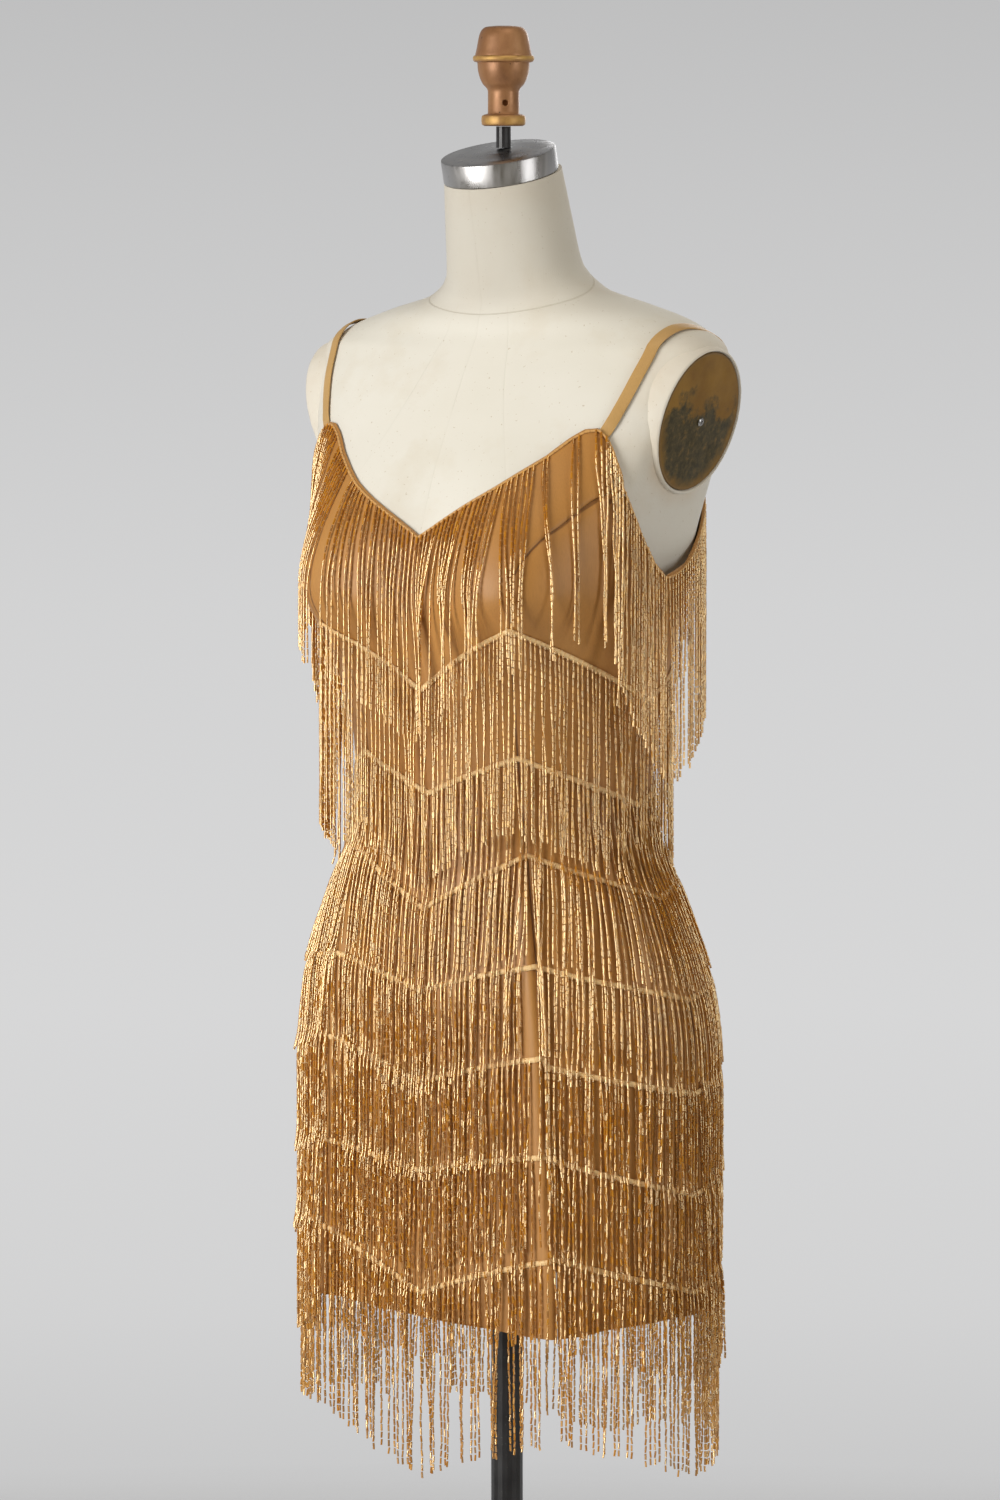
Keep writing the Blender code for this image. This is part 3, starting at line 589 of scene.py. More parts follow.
def braid_finish(name, dark, middle, light):
    f = Finish(name, Roughness=0.5, Sheen_Weight=0.2)
    tone = f.ramp(f.value("stitch"), (0.0, dark), (0.45, middle), (0.8, light))
    thread = f.noise(1300, 2)
    tone = f.mix(f.ramp(thread, (0.4, 0.0), (0.7, 0.25)), tone, (0.45, 0.22, 0.07))
    return f.finish(Base_Color=tone, Normal=f.bump(thread, 0.3, 0.0003))


def bead_finish():
    f = Finish("gold lined glass beads", IOR=4.1, Specular_Tint=(1.0, 0.88, 0.55))
    chance = f.value("tint")
    tone = f.ramp(chance, (0.0, (0.33, 0.098, 0.002)), (0.5, (0.52, 0.178, 0.003)),
                  (1.0, (0.70, 0.28, 0.008)))
    rough = f.ramp(chance, (0.0, 0.22), (0.6, 0.09), (1.0, 0.05))
    return f.finish(Base_Color=tone, Roughness=rough)


def thread_finish():
    f = Finish("bead thread", Roughness=0.6)
    tone = f.ramp(f.noise(400, 2), (0.4, (0.42, 0.22, 0.06)), (0.7, (0.58, 0.34, 0.12)))
    return f.finish(Base_Color=tone)


canvas = canvas_finish()
cap_steel = steel_finish("brushed steel cap", (14, 14, 1))
screw_steel = steel_finish("dull steel screw", (4, 4, 4))
black = black_finish()
wood = wood_finish()
brass = brass_finish()
satin = satin_finish("tan satin", (0.500, 0.245, 0.066), (0.420, 0.192, 0.044))
# Painted light: the straps get a lighter, paler copy of the tan satin, standing in for the light
# that falls on them from above.
strap_satin_painted_lighter = satin_finish("strap satin painted lighter", (0.560, 0.350, 0.132), (0.480, 0.280, 0.092))
braid = braid_finish("gold braid", (0.46, 0.19, 0.03), (0.74, 0.43, 0.15), (0.86, 0.60, 0.28))
cord = braid_finish("gold edge cord", (0.30, 0.125, 0.02), (0.44, 0.21, 0.05), (0.62, 0.34, 0.10))
glass = bead_finish()
thread = thread_finish()


# Form

def press_at_arm(points):
    """Flatten the shoulders onto the arm cuts, with a soft edge."""
    x = np.abs(points[:, 0])
    up = points[:, 2] - ARM_CUT_CENTRE[2]
    plane = ARM_CUT_CENTRE[0] + up * math.tan(ARM_CUT_LEAN)
    round_off = 0.006
    share = np.clip(0.5 + 0.5 * (plane - x) / round_off, 0, 1)
    pressed = plane * (1 - share) + x * share - round_off * share * (1 - share)
    wide = (points[:, 1] - ARM_CUT_CENTRE[1]) / PLATE_HALF_WIDTH
    tall = up / math.cos(ARM_CUT_LEAN) / PLATE_HALF_HEIGHT
    ring = np.hypot(wide, tall)
    on_cut = ease(x - plane, -0.002, 0.006)
    points[:, 0] = np.sign(points[:, 0]) * (pressed - 0.0004 * on_cut)
    return ring, on_cut


def tilt_neck(points):
    """Lean the neck's top edge forward, and let its root lie lower in front than behind."""
    share = np.clip((points[:, 2] - NECK_TILT_FROM) / (NECK_TOP - NECK_TILT_FROM), 0, None)
    root = ease(points[:, 2], 1.395, 1.425) * ease(points[:, 2], 1.485, 1.450)
    points[:, 2] += NECK_TILT * share * (points[:, 1] - CAP_CENTRE)
    points[:, 2] += NECK_ROOT_LEAN * root * np.clip(points[:, 1] - 0.012, -0.06, 0.06)


def arm_seat(side):
    """The frame of an arm plate: its own Z points out of the shoulder, its own -X points up."""
    turn = Matrix.Rotation(side * ARM_CUT_LEAN, 4, "Y")
    if side < 0:
        turn = turn @ Matrix.Rotation(math.pi, 4, "Z")
    centre = (side * ARM_CUT_CENTRE[0], ARM_CUT_CENTRE[1], ARM_CUT_CENTRE[2])
    return (Matrix.Translation(centre) @ turn @ Matrix.Translation((0.0003, 0, 0))
            @ Matrix.Rotation(math.pi / 2, 4, "Y"))


# Outline of the canvas roll: away from the plate's edge, and out of the shoulder
ROLL = ((0.0003, -0.026), (0.0004, 0.0006), (0.0007, 0.0024), (0.0014, 0.0033), (0.0024, 0.0030),
        (0.0031, 0.0016), (0.0036, -0.0010), (0.0040, -0.0080), (0.0020, -0.0260))


def canvas_rim(side):
    """The canvas turned over in a soft roll round an arm plate."""
    turns = np.arange(120) * math.tau / 120
    sizes = 1 + 0.10 * np.sin(3 * turns + 1) + random.normal(0, 0.03, len(turns))
    rings = []
    for out, up in ROLL:
        out = out * sizes
        along = (PLATE_HALF_HEIGHT + out) * np.cos(turns)
        wide = (PLATE_HALF_WIDTH + out) * np.sin(turns)
        rings.append(np.stack((along, wide, up + 0 * turns), axis=1))
    seat = np.array(arm_seat(side))
    points = np.concatenate(rings) @ seat[:3, :3].T + seat[:3, 3]
    return points, loop_faces(len(rings), len(turns))


def torso_angles(columns):
    """Angles once round, closer together at the arms."""
    base = np.linspace(-math.pi, math.pi, 4001)
    weight = 1 + 1.4 * np.exp(-((np.abs(base) - math.radians(92)) / math.radians(26)) ** 2)
    run = np.cumsum(weight)
    return np.interp(np.arange(columns) * run[-1] / columns, run, base)


def torso_values(turn, level, flat, ring, on_cut):
    """What the canvas finish reads: distances from the seams, worn places mixed with painted shade,
    and the neck, which gets painted shade.
    """
    away = 0.05
    front = np.where(np.abs(turn) < math.pi / 2, flat[:, 0], away)
    neck_line = 1.4455 - 0.0125 * np.cos(turn)
    shoulder = flat[:, 1] - (0.026 + 0.05 * np.clip(np.abs(flat[:, 0]) - 0.05, 0, None))
    shoulder = np.where((level < 1.355) | (level > 1.448), away, shoulder)
    dart = np.radians(36 - 10 * ease(level, 1.25, 1.41))
    dart_off = np.where(level > 1.44, away, (np.abs(turn) - dart) * form_radius(turn, level))
    # Warm darkening on the canvas: real wear round the arm cuts, painted shade on the neck, and
    # darker towards the sides.
    rub = 0.8 * ease(ring, 1.35, 1.0) * ease(on_cut, 0.0, 1.0)
    rub += 0.25 * ease(level, 1.42, 1.45) + 0.3 * ease(level, 1.505, NECK_TOP)
    rub += 0.4 * ease(np.abs(flat[:, 0]), 0.12, 0.18)
    return {"front_seam": (front, away), "neck_seam": (level - neck_line, away),
            "shoulder_seam": (shoulder, away), "shape_seam": (dart_off, away),
            # The first value below mixes wear with painted shade. The neck value marks where shade
            # is painted on the neck.
            "rub": (np.clip(rub, 0, 1), 0.4), "neck": (ease(level, 1.42, 1.455), 0.0)}


def build_torso():
    columns = 208
    angles = torso_angles(columns)
    heights = np.concatenate((np.linspace(FORM_FOOT, 1.20, 22), np.linspace(1.208, 1.292, 11),
                              np.linspace(1.296, 1.452, 53), np.linspace(1.459, NECK_TOP, 12)))
    angle, height = np.meshgrid(angles, heights)
    points = place(angle, height, form_radius(angle, height)).reshape(-1, 3)
    flat = points.copy()
    ring, on_cut = press_at_arm(points)
    tilt_neck(points)
    faces = tube_faces(len(heights), columns)
    for side in (1, -1):
        rim, rim_faces = canvas_rim(side)
        faces += [[len(points) + i for i in face] for face in rim_faces]
        points = np.concatenate((points, rim))
    made = mesh_object("form_canvas", points, faces, canvas, 60)
    kept = torso_values(angle.reshape(-1), height.reshape(-1), flat, ring, on_cut)
    for name, (values, on_rim) in kept.items():
        keep_value(made, name, np.append(values, np.full(len(points) - len(flat), on_rim)))
    return add_piece(made, "canvas", "form_torso")


def build_neck_cap():
    tilt = math.atan(NECK_TILT)
    cap_at = Matrix.Translation((0, CAP_CENTRE, NECK_TOP + 0.0003))
    cap_at = cap_at @ Matrix.Rotation(tilt, 4, "X")
    outline = [(0.0, 0.0450), (0.0006, 0.0456), (0.0172, 0.0456), (0.0180, 0.0453),
               (0.0184, 0.0446), (0.0185, 0.0300), (0.0190, 0.0120), (0.0196, 0.0098),
               (0.0197, 0.0085)]
    cap = turned("steel_neck_cap", outline, cap_steel, 128, cap_at, smooth_degrees=30)
    add_piece(cap, "steel", "neck_cap")


def build_finial():
    """A turned wooden knob with worn gilding on its two beads and a hole through its stem."""
    outline = rounded_profile([(0.0000, 0.0150), (0.0012, 0.0170), (0.0045, 0.0174),
                               (0.0078, 0.0170), (0.0090, 0.0150), (0.0096, 0.0126)], 5)
    outline += rounded_profile([(0.0100, 0.0123), (0.0265, 0.0123), (0.0285, 0.0127),
                                (0.0330, 0.0163), (0.0390, 0.0190), (0.0450, 0.0203),
                                (0.0498, 0.0206)], 6)
    outline += rounded_profile([(0.0502, 0.0224), (0.0510, 0.0236), (0.0530, 0.0242),
                                (0.0548, 0.0236), (0.0556, 0.0222)], 5)
    outline += rounded_profile([(0.0562, 0.0222), (0.0600, 0.0213), (0.0660, 0.0202),
                                (0.0720, 0.0188), (0.0755, 0.0170), (0.0777, 0.0138),
                                (0.0786, 0.0060)], 6)
    up = Matrix.Translation((0, ROD_CENTRE, FINIAL_FOOT))
    finial = turned("turned_finial", outline, wood, 96, up, smooth_degrees=50)
    cutter = turned("hole", [(0.008, 0.0025), (0.03, 0.0025)], wood, 24)
    hole_turn = Matrix.Rotation(math.radians(42), 4, "Z") @ Matrix.Rotation(math.pi / 2, 4, "X")
    cutter.data.transform(Matrix.Translation((0, ROD_CENTRE, FINIAL_FOOT + 0.0182)) @ hole_turn)
    cut_away(finial, cutter)
    bpy.data.objects.remove(cutter)
    co = points_of(finial)
    levels = co[:, 2] - FINIAL_FOOT
    reach = np.hypot(co[:, 0], co[:, 1] - ROD_CENTRE)
    wear = np.exp(-((levels - 0.0535) / 0.0022) ** 2) * ease(reach, 0.0222, 0.0238)
    wear += np.exp(-((levels - 0.0045) / 0.0045) ** 2) * ease(reach, 0.0155, 0.0172) * 0.9
    keep_value(finial, "edge_wear", np.clip(wear, 0, 1))
    add_piece(finial, "wood", "finial")


def build_stand():
    """The round base with its collar. The pole and top rod keep their shape from the parts."""
    for name in ("top_rod", "pole"):
        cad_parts[name].material_slots[0].material = black
    outline = [(0.0, 0.2080), (0.0008, 0.2098), (0.0112, 0.2100)]
    outline += rounded_profile([(0.0118, 0.2094), (0.0130, 0.2060), (0.0160, 0.1500),
                                (0.0215, 0.0480), (0.0260, 0.0330), (0.0340, 0.0268)], 6)
    outline += [(0.066, 0.0246), (0.0704, 0.0238), (0.0720, 0.0216), (0.0720, 0.0130)]
    base = turned("round_stand_base", outline, black, 144)
    add_piece(base, "black", "base")


def build_arm_plates():
    for side, word in ((1, "left"), (-1, "right")):
        seat = arm_seat(side)
        rings = [(0.0, 0.0550), (0.0004, 0.0558), (0.0020, 0.0560), (0.0027, 0.0554)]
        rings += [(0.0027 + 0.0012 * (1 - (r / 0.055) ** 2), r)
                  for r in np.linspace(0.0545, 0.0005, 14)]
        squash = PLATE_HALF_WIDTH / PLATE_HALF_HEIGHT
        plate = turned("brass_arm_plate_" + word, rings, brass, 96, None, squash)
        co = points_of(plate)
        keep_value(plate, "plate_height", 0.5 - co[:, 0] / 2 / PLATE_HALF_HEIGHT)
        keep_value(plate, "plate_rim", np.hypot(co[:, 0], co[:, 1] / squash) / PLATE_HALF_HEIGHT)
        plate.data.transform(seat)
        add_piece(plate, "brass", "arm_plate_" + word)
        head = seat @ Matrix.Translation((0, 0, 0.0036))
        outline = [(0.0, 0.0034), (0.0008, 0.0034), (0.0015, 0.0028), (0.0018, 0.0018)]
        screw = turned("plate_screw_" + word, outline, screw_steel, 32)
        slot = turned("slot", [(0.0009, 0.0030), (0.0030, 0.0030)], screw_steel, 4, None, 0.18)
        for spin in (0, math.pi / 2):
            slot.data.transform(Matrix.Rotation(spin, 4, "Z"))
            cut_away(screw, slot)
        bpy.data.objects.remove(slot)
        screw.data.transform(head @ Matrix.Rotation(0.5, 4, "Z"))
        add_piece(screw, "steel", "arm_screw_" + word)


# Dress

# Soft folds of the cloth: degrees from the front, top, bottom, lean in degrees, half width, depth
FOLDS = np.array([
    (-52, 1.235, 1.135, 4, 0.006, -0.0016), (-41, 1.240, 1.120, -3, 0.007, -0.0018),
    (-27, 1.225, 1.130, 5, 0.006, -0.0013), (-13, 1.235, 1.120, 2, 0.007, -0.0012),
    (9, 1.240, 1.125, -3, 0.007, -0.0014), (20, 1.235, 1.130, -6, 0.006, -0.0017),
    (27, 1.215, 1.150, -3, 0.004, -0.0014), (43, 1.222, 1.165, 6, 0.005, -0.0013),
    (58, 1.245, 1.150, 5, 0.007, -0.0012), (-68, 1.225, 1.120, 3, 0.007, -0.0010),
    (4, 1.020, 0.930, 2, 0.006, 0.0010), (-20, 1.025, 0.940, -4, 0.007, 0.0010),
    (30, 1.010, 0.920, 5, 0.006, 0.0009), (66, 1.030, 0.950, -4, 0.007, 0.0010),
    (-60, 1.030, 0.940, 4, 0.007, 0.0010), (120, 1.060, 0.940, 3, 0.008, 0.0013),
    (-120, 1.060, 0.940, -3, 0.008, 0.0013), (150, 1.050, 0.930, -3, 0.008, 0.0012),
    (-150, 1.050, 0.930, 3, 0.008, 0.0012), (172, 1.230, 1.150, 1, 0.007, -0.0010),
    (14, 0.760, 0.640, 1, 0.010, 0.0012), (-32, 0.760, 0.640, -1, 0.011, 0.0012),
    (75, 0.760, 0.640, 1, 0.010, 0.0012), (-88, 0.750, 0.640, 1, 0.011, 0.0012),
])


def fold_depth(angle, height):
    """How far the folds move the cloth out or in."""
    total = np.zeros(np.broadcast(angle, height).shape)
    for degrees, top, bottom, lean, width, depth in FOLDS:
        share = (top - height) / (top - bottom)
        turn = np.radians(degrees + lean * share)
        across = wrapped(angle - turn) * 0.13 / width
        along = ease(share, -0.08, 0.25) * ease(share, 1.1, 0.7)
        total += depth * np.exp(-across ** 2) * along
    return total


def shell(name, angle, height, edge_in, finish):
    """A cloth wall on a grid of angles and heights, closed round its rim."""
    rows, columns = angle.shape
    fold = fold_depth(angle, height)
    outer = place(angle, height, cloth_radius(angle, height) + fold - edge_in)
    pressed_in = np.minimum(fold, 0) * 0.5
    inner = place(angle, height, cloth_radius(angle, height, CLOTH_INNER) + pressed_in)
    vertices = np.concatenate((outer.reshape(-1, 3), inner.reshape(-1, 3)))
    faces = grid_faces(rows, columns, False)
    far = rows * columns
    faces += [face[::-1] for face in grid_faces(rows, columns, False, far)]
    rim = list(range(columns)) + [columns * (i + 1) - 1 for i in range(1, rows)]
    rim += [columns * (rows - 1) + i for i in range(columns - 2, -1, -1)]
    rim += [columns * i for i in range(rows - 2, 0, -1)]
    for a, b in zip(rim, rim[1:] + rim[:1]):
        faces.append([a, far + a, far + b, b])
    return mesh_object(name, vertices, faces, finish, 60)


def panel(name, first, last, edge_height, columns, rows):
    """A panel between two seams. Its grid follows both seams and the upper edge."""
    near_hem = 0.64
    near_top = 1.25
    angle = np.zeros((rows, columns))
    height = np.zeros((rows, columns))
    for i, share in enumerate(np.linspace(0, 1, columns)):
        def at(z, share=share):
            return first(z) + (last(z) - first(z)) * share
        top = near_top
        for _ in range(50):
            top += 0.5 * (float(edge_height(at(top))) - top)
        low = float(hem_height(at(near_hem)))
        steps = np.linspace(0, 1, rows)
        height[:, i] = low + (top - low) * (steps + 0.18 * np.sin(math.pi * steps) / math.pi)
        angle[:, i] = at(height[:, i])
    reach = form_radius(angle, np.maximum(height, HIP_HEIGHT))
    gap = SEAM_HALF_GAP / reach
    angle[:, 0] += gap[:, 0]
    angle[:, -1] -= gap[:, -1]
    from_edge = np.minimum(np.abs(angle - angle[:, :1]), np.abs(angle[:, -1:] - angle)) * reach
    edge_in = 0.0012 * np.exp(-(from_edge / 0.0026) ** 2)
    made = shell(name, angle, height, edge_in, satin)
    keep_value(made, "seam", np.tile((1 - from_edge / 0.01).reshape(-1), 2))
    return made


def mirrored(source, name):
    co = points_of(source) * (-1, 1, 1)
    faces = [list(f.vertices)[::-1] for f in source.data.polygons]
    return mesh_object(name, co, faces, source.data.materials[0], 60)


def plumb(turn):
    """A seam that stays at one angle all the way down."""
    return lambda height: turn + 0 * height


def right_princess(height):
    return -princess_angle(height)


# Panels: the two seams of each, columns and rows of its grid, and its cut size as the width,
# the length and the area between the seams
PANELS = (
    ("front_panel", right_princess, princess_angle, 97, 96, (0.300, 0.705, 0.137)),
    ("side_front_left", princess_angle, plumb(SIDE_SEAM), 26, 90, (0.140, 0.680, 0.080)),
    ("side_front_right", plumb(-SIDE_SEAM), right_princess, 26, 90, (0.140, 0.680, 0.080)),
    ("back_left", plumb(SIDE_SEAM), plumb(math.pi), 44, 80, (0.235, 0.665, 0.133)),
    ("back_right", plumb(math.pi), plumb(math.tau - SIDE_SEAM), 44, 80, (0.235, 0.665, 0.133)),
)


def build_cloth():
    """The panels in the order of their table."""
    made = []
    for name, first, last, columns, rows, _ in PANELS:
        front = name == "front_panel"
        piece = panel(name, first, last, neckline_height if front else back_edge_height,
                      columns, rows)
        made.append(add_piece(piece, "cloth", "dress_front" if front else "dress_" + name))
    return made


def build_straps():
    """Flat satin tubes over the shoulders, from the front points to the back points."""
    pivot = 1.29
    steps = 64
    sides = 12
    middle = float(section("centre", pivot))
    start, end = (place(angle, top, form_radius(angle, top) + CLOTH_INNER) for angle, top in (
        (STRAP_FRONT, STRAP_POINT - STRAP_TUCK), (STRAP_BACK, float(back_edge_height(STRAP_BACK)))))
    first = math.atan2(start[2] - pivot, middle - start[1])
    last = math.atan2(end[2] - pivot, middle - end[1])
    share = np.linspace(0, 1, steps + 1)
    slope = first + (last - first) * share
    ends = start[0] + (end[0] - start[0]) * share
    x = ends + (STRAP_REACH - ends) * np.sin(math.pi * share) ** 0.8
    near = np.zeros(steps + 1)
    far = np.full(steps + 1, 0.25)
    for _ in range(40):
        reach = (near + far) / 2
        points = np.column_stack((x, middle - reach * np.cos(slope), pivot + reach * np.sin(slope)))
        out = (points[:, 2] > NECK_TOP) | (beyond_cloth(points) + CLOTH_OUTER > 0)
        far = np.where(out, reach, far)
        near = np.where(out, near, reach)
    across, normal = directions(points, np.gradient(points, axis=0))
    tucked = 0.62 + 0.38 * ease(share, 0.03, 0.07) * ease(share, 0.985, 0.955)
    ring = []
    for i in range(sides):
        turn = math.tau * (i + 0.5) / sides
        wide = math.copysign(abs(math.cos(turn)) ** 0.55, math.cos(turn)) * STRAP_HALF_WIDTH
        thick = math.copysign(abs(math.sin(turn)) ** 0.7, math.sin(turn)) * STRAP_HALF_THICKNESS
        thick += 0.001 + STRAP_HALF_THICKNESS
        wave = tucked * (1 + 0.05 * np.sin(share * 41 + 2 * i))
        ring.append(points + across * wide + normal * (thick * wave)[:, None])
    vertices = np.stack(ring, axis=1).reshape(-1, 3)
    left = mesh_object("satin_strap_left", vertices, tube_faces(steps + 1, sides), strap_satin_painted_lighter, 60)
    right = mirrored(left, "satin_strap_right")
    return [add_piece(left, "cloth", "strap_left"), add_piece(right, "cloth", "strap_right")]


# Fringe

def edge_outline():
    """The upper edge once round the dress, as angles and heights from the front's middle."""
    neck = np.linspace(0, NECKLINE[-1, 0], 40)
    half = [(math.radians(d), float(np.interp(d, NECKLINE[:, 0], NECKLINE[:, 1]))) for d in neck]
    for z in np.linspace(STRAP_POINT, BACK_EDGE[0, 1], 10)[1:-1]:
        half.append((float(princess_angle(z)), z))
    under = np.linspace(BACK_EDGE[0, 0], 180, 60)
    half += [(math.radians(d), float(smooth(BACK_EDGE, 1, d))) for d in under]
    return np.array(half + [(math.tau - a, z) for a, z in half[-2:0:-1]])


def row_outline(row):
    angle = np.linspace(0, math.tau, 721)[:-1]
    return np.column_stack((angle, braid_height(row, angle)))


def spaced(outline, pitch):
    """Points at even spacing along a closed outline on the cloth."""
    closed = np.vstack((outline, outline[:1] + (math.tau, 0)))
    points = place(closed[:, 0], closed[:, 1], cloth_radius(closed[:, 0], closed[:, 1]))
    run = np.concatenate(([0], np.cumsum(np.linalg.norm(np.diff(points, axis=0), axis=1))))
    count = int(round(run[-1] / pitch))
    where = np.arange(count) * run[-1] / count
    return np.column_stack([np.interp(where, run, closed[:, i]) for i in (0, 1)])


def build_braid(name, outline, width, lift, finish):
    """A narrow braid sewn flat on the cloth, ridged where each strand's thread goes in."""
    per_strand = 3
    sides = 6
    steps = spaced(outline, STRAND_PITCH / per_strand)
    angle = steps[:, 0]
    height = steps[:, 1] - width / 2 - 0.0006
    points = place(angle, height, cloth_radius(angle, height) + fold_depth(angle, height) + lift)
    along = np.roll(points, -1, axis=0) - np.roll(points, 1, axis=0)
    across, normal = directions(points, along)
    ridge = np.where(np.arange(len(steps)) % per_strand == 0, 1.0, 0.0)
    swell = 1 + 0.30 * ridge + random.normal(0, 0.05, len(steps))
    ring = []
    stitch = []
    for i in range(sides):
        turn = math.tau * (i + 0.5) / sides
        wide = math.cos(turn) * width / 2 * 1.1
        thick = math.sin(turn) * 0.00075
        wander = random.normal(0, 0.00010, (len(steps), 1))
        ring.append(points + across * wide * swell[:, None] ** 0.3
                    + normal * (thick * swell)[:, None] + across * wander)
        stitch.append(1 - 0.75 * ridge * (0.5 + 0.5 * abs(math.cos(turn))))
    vertices = np.stack(ring, axis=1).reshape(-1, 3)
    made = mesh_object(name, vertices, loop_faces(len(steps), sides), finish, 80)
    keep_value(made, "stitch", np.stack(stitch, axis=1))
    return made


def layers_below(row, angle, height):
    """Thickness of the rounds that a strand lies on, where it hangs over lower braids."""
    fringe_thickness = 0.0030
    total = np.zeros(len(height))
    for lower in range(row + 1, min(row + 4, len(ROWS))):
        total += fringe_thickness * ease(braid_height(lower, angle) - height, -0.004, 0.008)
    return total


def hang(starts, row, lengths, lift):
    """Paths of strands: each falls plumb and slides down the cloth where it meets it."""
    step = 0.005
    points = starts.copy()
    paths = [points]
    count = int(round(float(lengths.max()) / step))
    for i in range(count):
        stride = lengths[:, None] / count
        moved = points + (0, 0, -1) * stride
        for _ in range(2):
            angle, reach = polar(moved)
            room = reach - cloth_radius(angle, moved[:, 2])
            room -= lift + layers_below(row, angle, moved[:, 2])
            inside = np.minimum(room, 0)[:, None]
            moved = moved - cloth_normal(moved) * inside
            way = moved - points
            moved = points + way * stride / np.linalg.norm(way, axis=1, keepdims=True)
        points = moved
        paths.append(points)
    paths = np.stack(paths, axis=1)
    for _ in range(4):
        paths[:, 1:-1] = (paths[:, :-2] + 2 * paths[:, 1:-1] + paths[:, 2:]) / 4
    return paths


def sway(paths, lengths, group, grip):
    """Neighbours lean together in groups, a few strands stray, and all wave a little."""
    count, steps, _ = paths.shape
    pull = np.zeros(count)
    first = 0
    while first < count:
        size = int(random.integers(1, group))
        middle = first + (size - 1) / 2
        strength = random.uniform(0.15, grip) * (random.random() < LEANING_SHARE)
        for i in range(first, min(first + size, count)):
            pull[i] = (middle - i) * STRAND_PITCH * strength
        first += size
    share = np.linspace(0, 1, steps)
    lean = random.normal(0, 0.007, count)
    stray = random.random(count) < STRAY_SHARE
    lean[stray] = random.normal(0, 0.05, stray.sum())
    offset = pull[:, None] * ease(share, 0.02, 0.75)[None, :]
    offset += (lean * lengths)[:, None] * share[None, :]
    phase = random.uniform(0, math.tau, (count, 2))
    waves = random.uniform(2.0, 6.0, (count, 2))
    sizes = random.uniform(0.0, 0.0005, (count, 2))
    for i in range(2):
        wave = np.sin(share[None, :] * waves[:, i:i + 1] * math.pi + phase[:, i:i + 1])
        offset += sizes[:, i:i + 1] * wave * ease(share, 0, 0.2)[None, :]
    angle, _ = polar(paths)
    sideways = np.stack((np.cos(angle), np.sin(angle), 0 * angle), axis=-1)
    moved = paths + sideways * offset[..., None]
    out = random.uniform(0.0, 0.0007, (count, 1)) * ease(share, 0, 0.3)[None, :]
    outward = np.stack((np.sin(angle), -np.cos(angle), 0 * angle), axis=-1)
    return moved + outward * out[..., None]


def clear_of_cloth(paths, row, lift):
    """Push what swayed into the dress out again, as far down as the dress goes."""
    flat = paths.reshape(-1, 3)
    angle, reach = polar(flat)
    over = np.repeat(lift, paths.shape[1]) * 0.8 + layers_below(row, angle, flat[:, 2])
    short = np.minimum(reach - cloth_radius(angle, flat[:, 2]) - over, 0)
    short = np.where(flat[:, 2] < PRINCESS_SEAM[0, 0], 0, short)
    flat = flat - cloth_normal(flat) * short[:, None]
    moved = flat.reshape(paths.shape)
    moved[:, 0] = paths[:, 0]
    return moved


def bead_shape():
    """One cut glass tube, five sided, with flat ends."""
    angles = np.arange(5) * math.tau / 5
    ring = np.stack((BEAD_RADIUS * np.cos(angles), BEAD_RADIUS * np.sin(angles)), axis=1)
    half = 0.5 * BEAD_PITCH * 0.89
    vertices = [(x, y, z) for z in (-half, half) for x, y in ring]
    made = mesh_object("bead", vertices, tube_faces(2, 5), glass, 80)
    made.hide_render = True
    return made


def bead_tree():
    """Threads each strand's line with beads, each turned and tipped by chance."""
    tree = bpy.data.node_groups.new("beads on strands", "GeometryNodeTree")
    sockets = tree.interface
    sockets.new_socket("Strands", in_out="INPUT", socket_type="NodeSocketGeometry")
    for name, kind in (("Bead", "Object"), ("Finish", "Material"), ("Pitch", "Float"),
                       ("Tilt", "Float"), ("Seed", "Int")):
        sockets.new_socket(name, in_out="INPUT", socket_type="NodeSocket" + kind)
    sockets.new_socket("Fringe", in_out="OUTPUT", socket_type="NodeSocketGeometry")

    g = Nodes(tree)
    given = g.add("NodeGroupInput").node.outputs
    curves = g.add("GeometryNodeMeshToCurve", {"Mesh": given["Strands"]})
    points = g.add("GeometryNodeCurveToPoints", {"Curve": curves, "Length": given["Pitch"]},
                   mode="LENGTH")
    aligned = g.add("FunctionNodeAlignRotationToVector",
                    {"Vector": points.node.outputs["Tangent"]}, axis="Z")
    less = g.math("MULTIPLY", given["Tilt"], -1.0)
    low = g.add("ShaderNodeCombineXYZ", {0: less, 1: less, 2: 0.0})
    high = g.add("ShaderNodeCombineXYZ", {0: given["Tilt"], 1: given["Tilt"], 2: math.tau})
    chance = g.add("FunctionNodeRandomValue", {0: low, 1: high, "Seed": given["Seed"]},
                   data_type="FLOAT_VECTOR")
    spin = g.add("FunctionNodeEulerToRotation", {0: chance})
    turn = g.add("FunctionNodeRotateRotation", {"Rotation": aligned, "Rotate By": spin},
                 rotation_space="LOCAL")
    next_seed = g.math("ADD", given["Seed"], 31.0)
    size = g.add("FunctionNodeRandomValue", {0: (0.88, 0.88, 0.90), 1: (1.08, 1.08, 1.04),
                                             "Seed": next_seed}, data_type="FLOAT_VECTOR")
    bead = g.add("GeometryNodeObjectInfo", {"Object": given["Bead"]}, out="Geometry")
    placed = g.add("GeometryNodeInstanceOnPoints", {
        "Points": points, "Instance": bead, "Rotation": turn, "Scale": size})
    tint = g.add("FunctionNodeRandomValue", {"Seed": g.math("ADD", given["Seed"], 67.0)},
                 out=1, data_type="FLOAT")
    stored = g.add("GeometryNodeStoreNamedAttribute", {
        "Geometry": placed, "Name": "tint", "Value": tint}, data_type="FLOAT", domain="INSTANCE")
    real = g.add("GeometryNodeRealizeInstances", {"Geometry": stored})
    dressed = g.add("GeometryNodeSetMaterial", {"Geometry": real, "Material": given["Finish"]})
    g.wire(tree.nodes.new("NodeGroupOutput"), 0, dressed)
    return tree


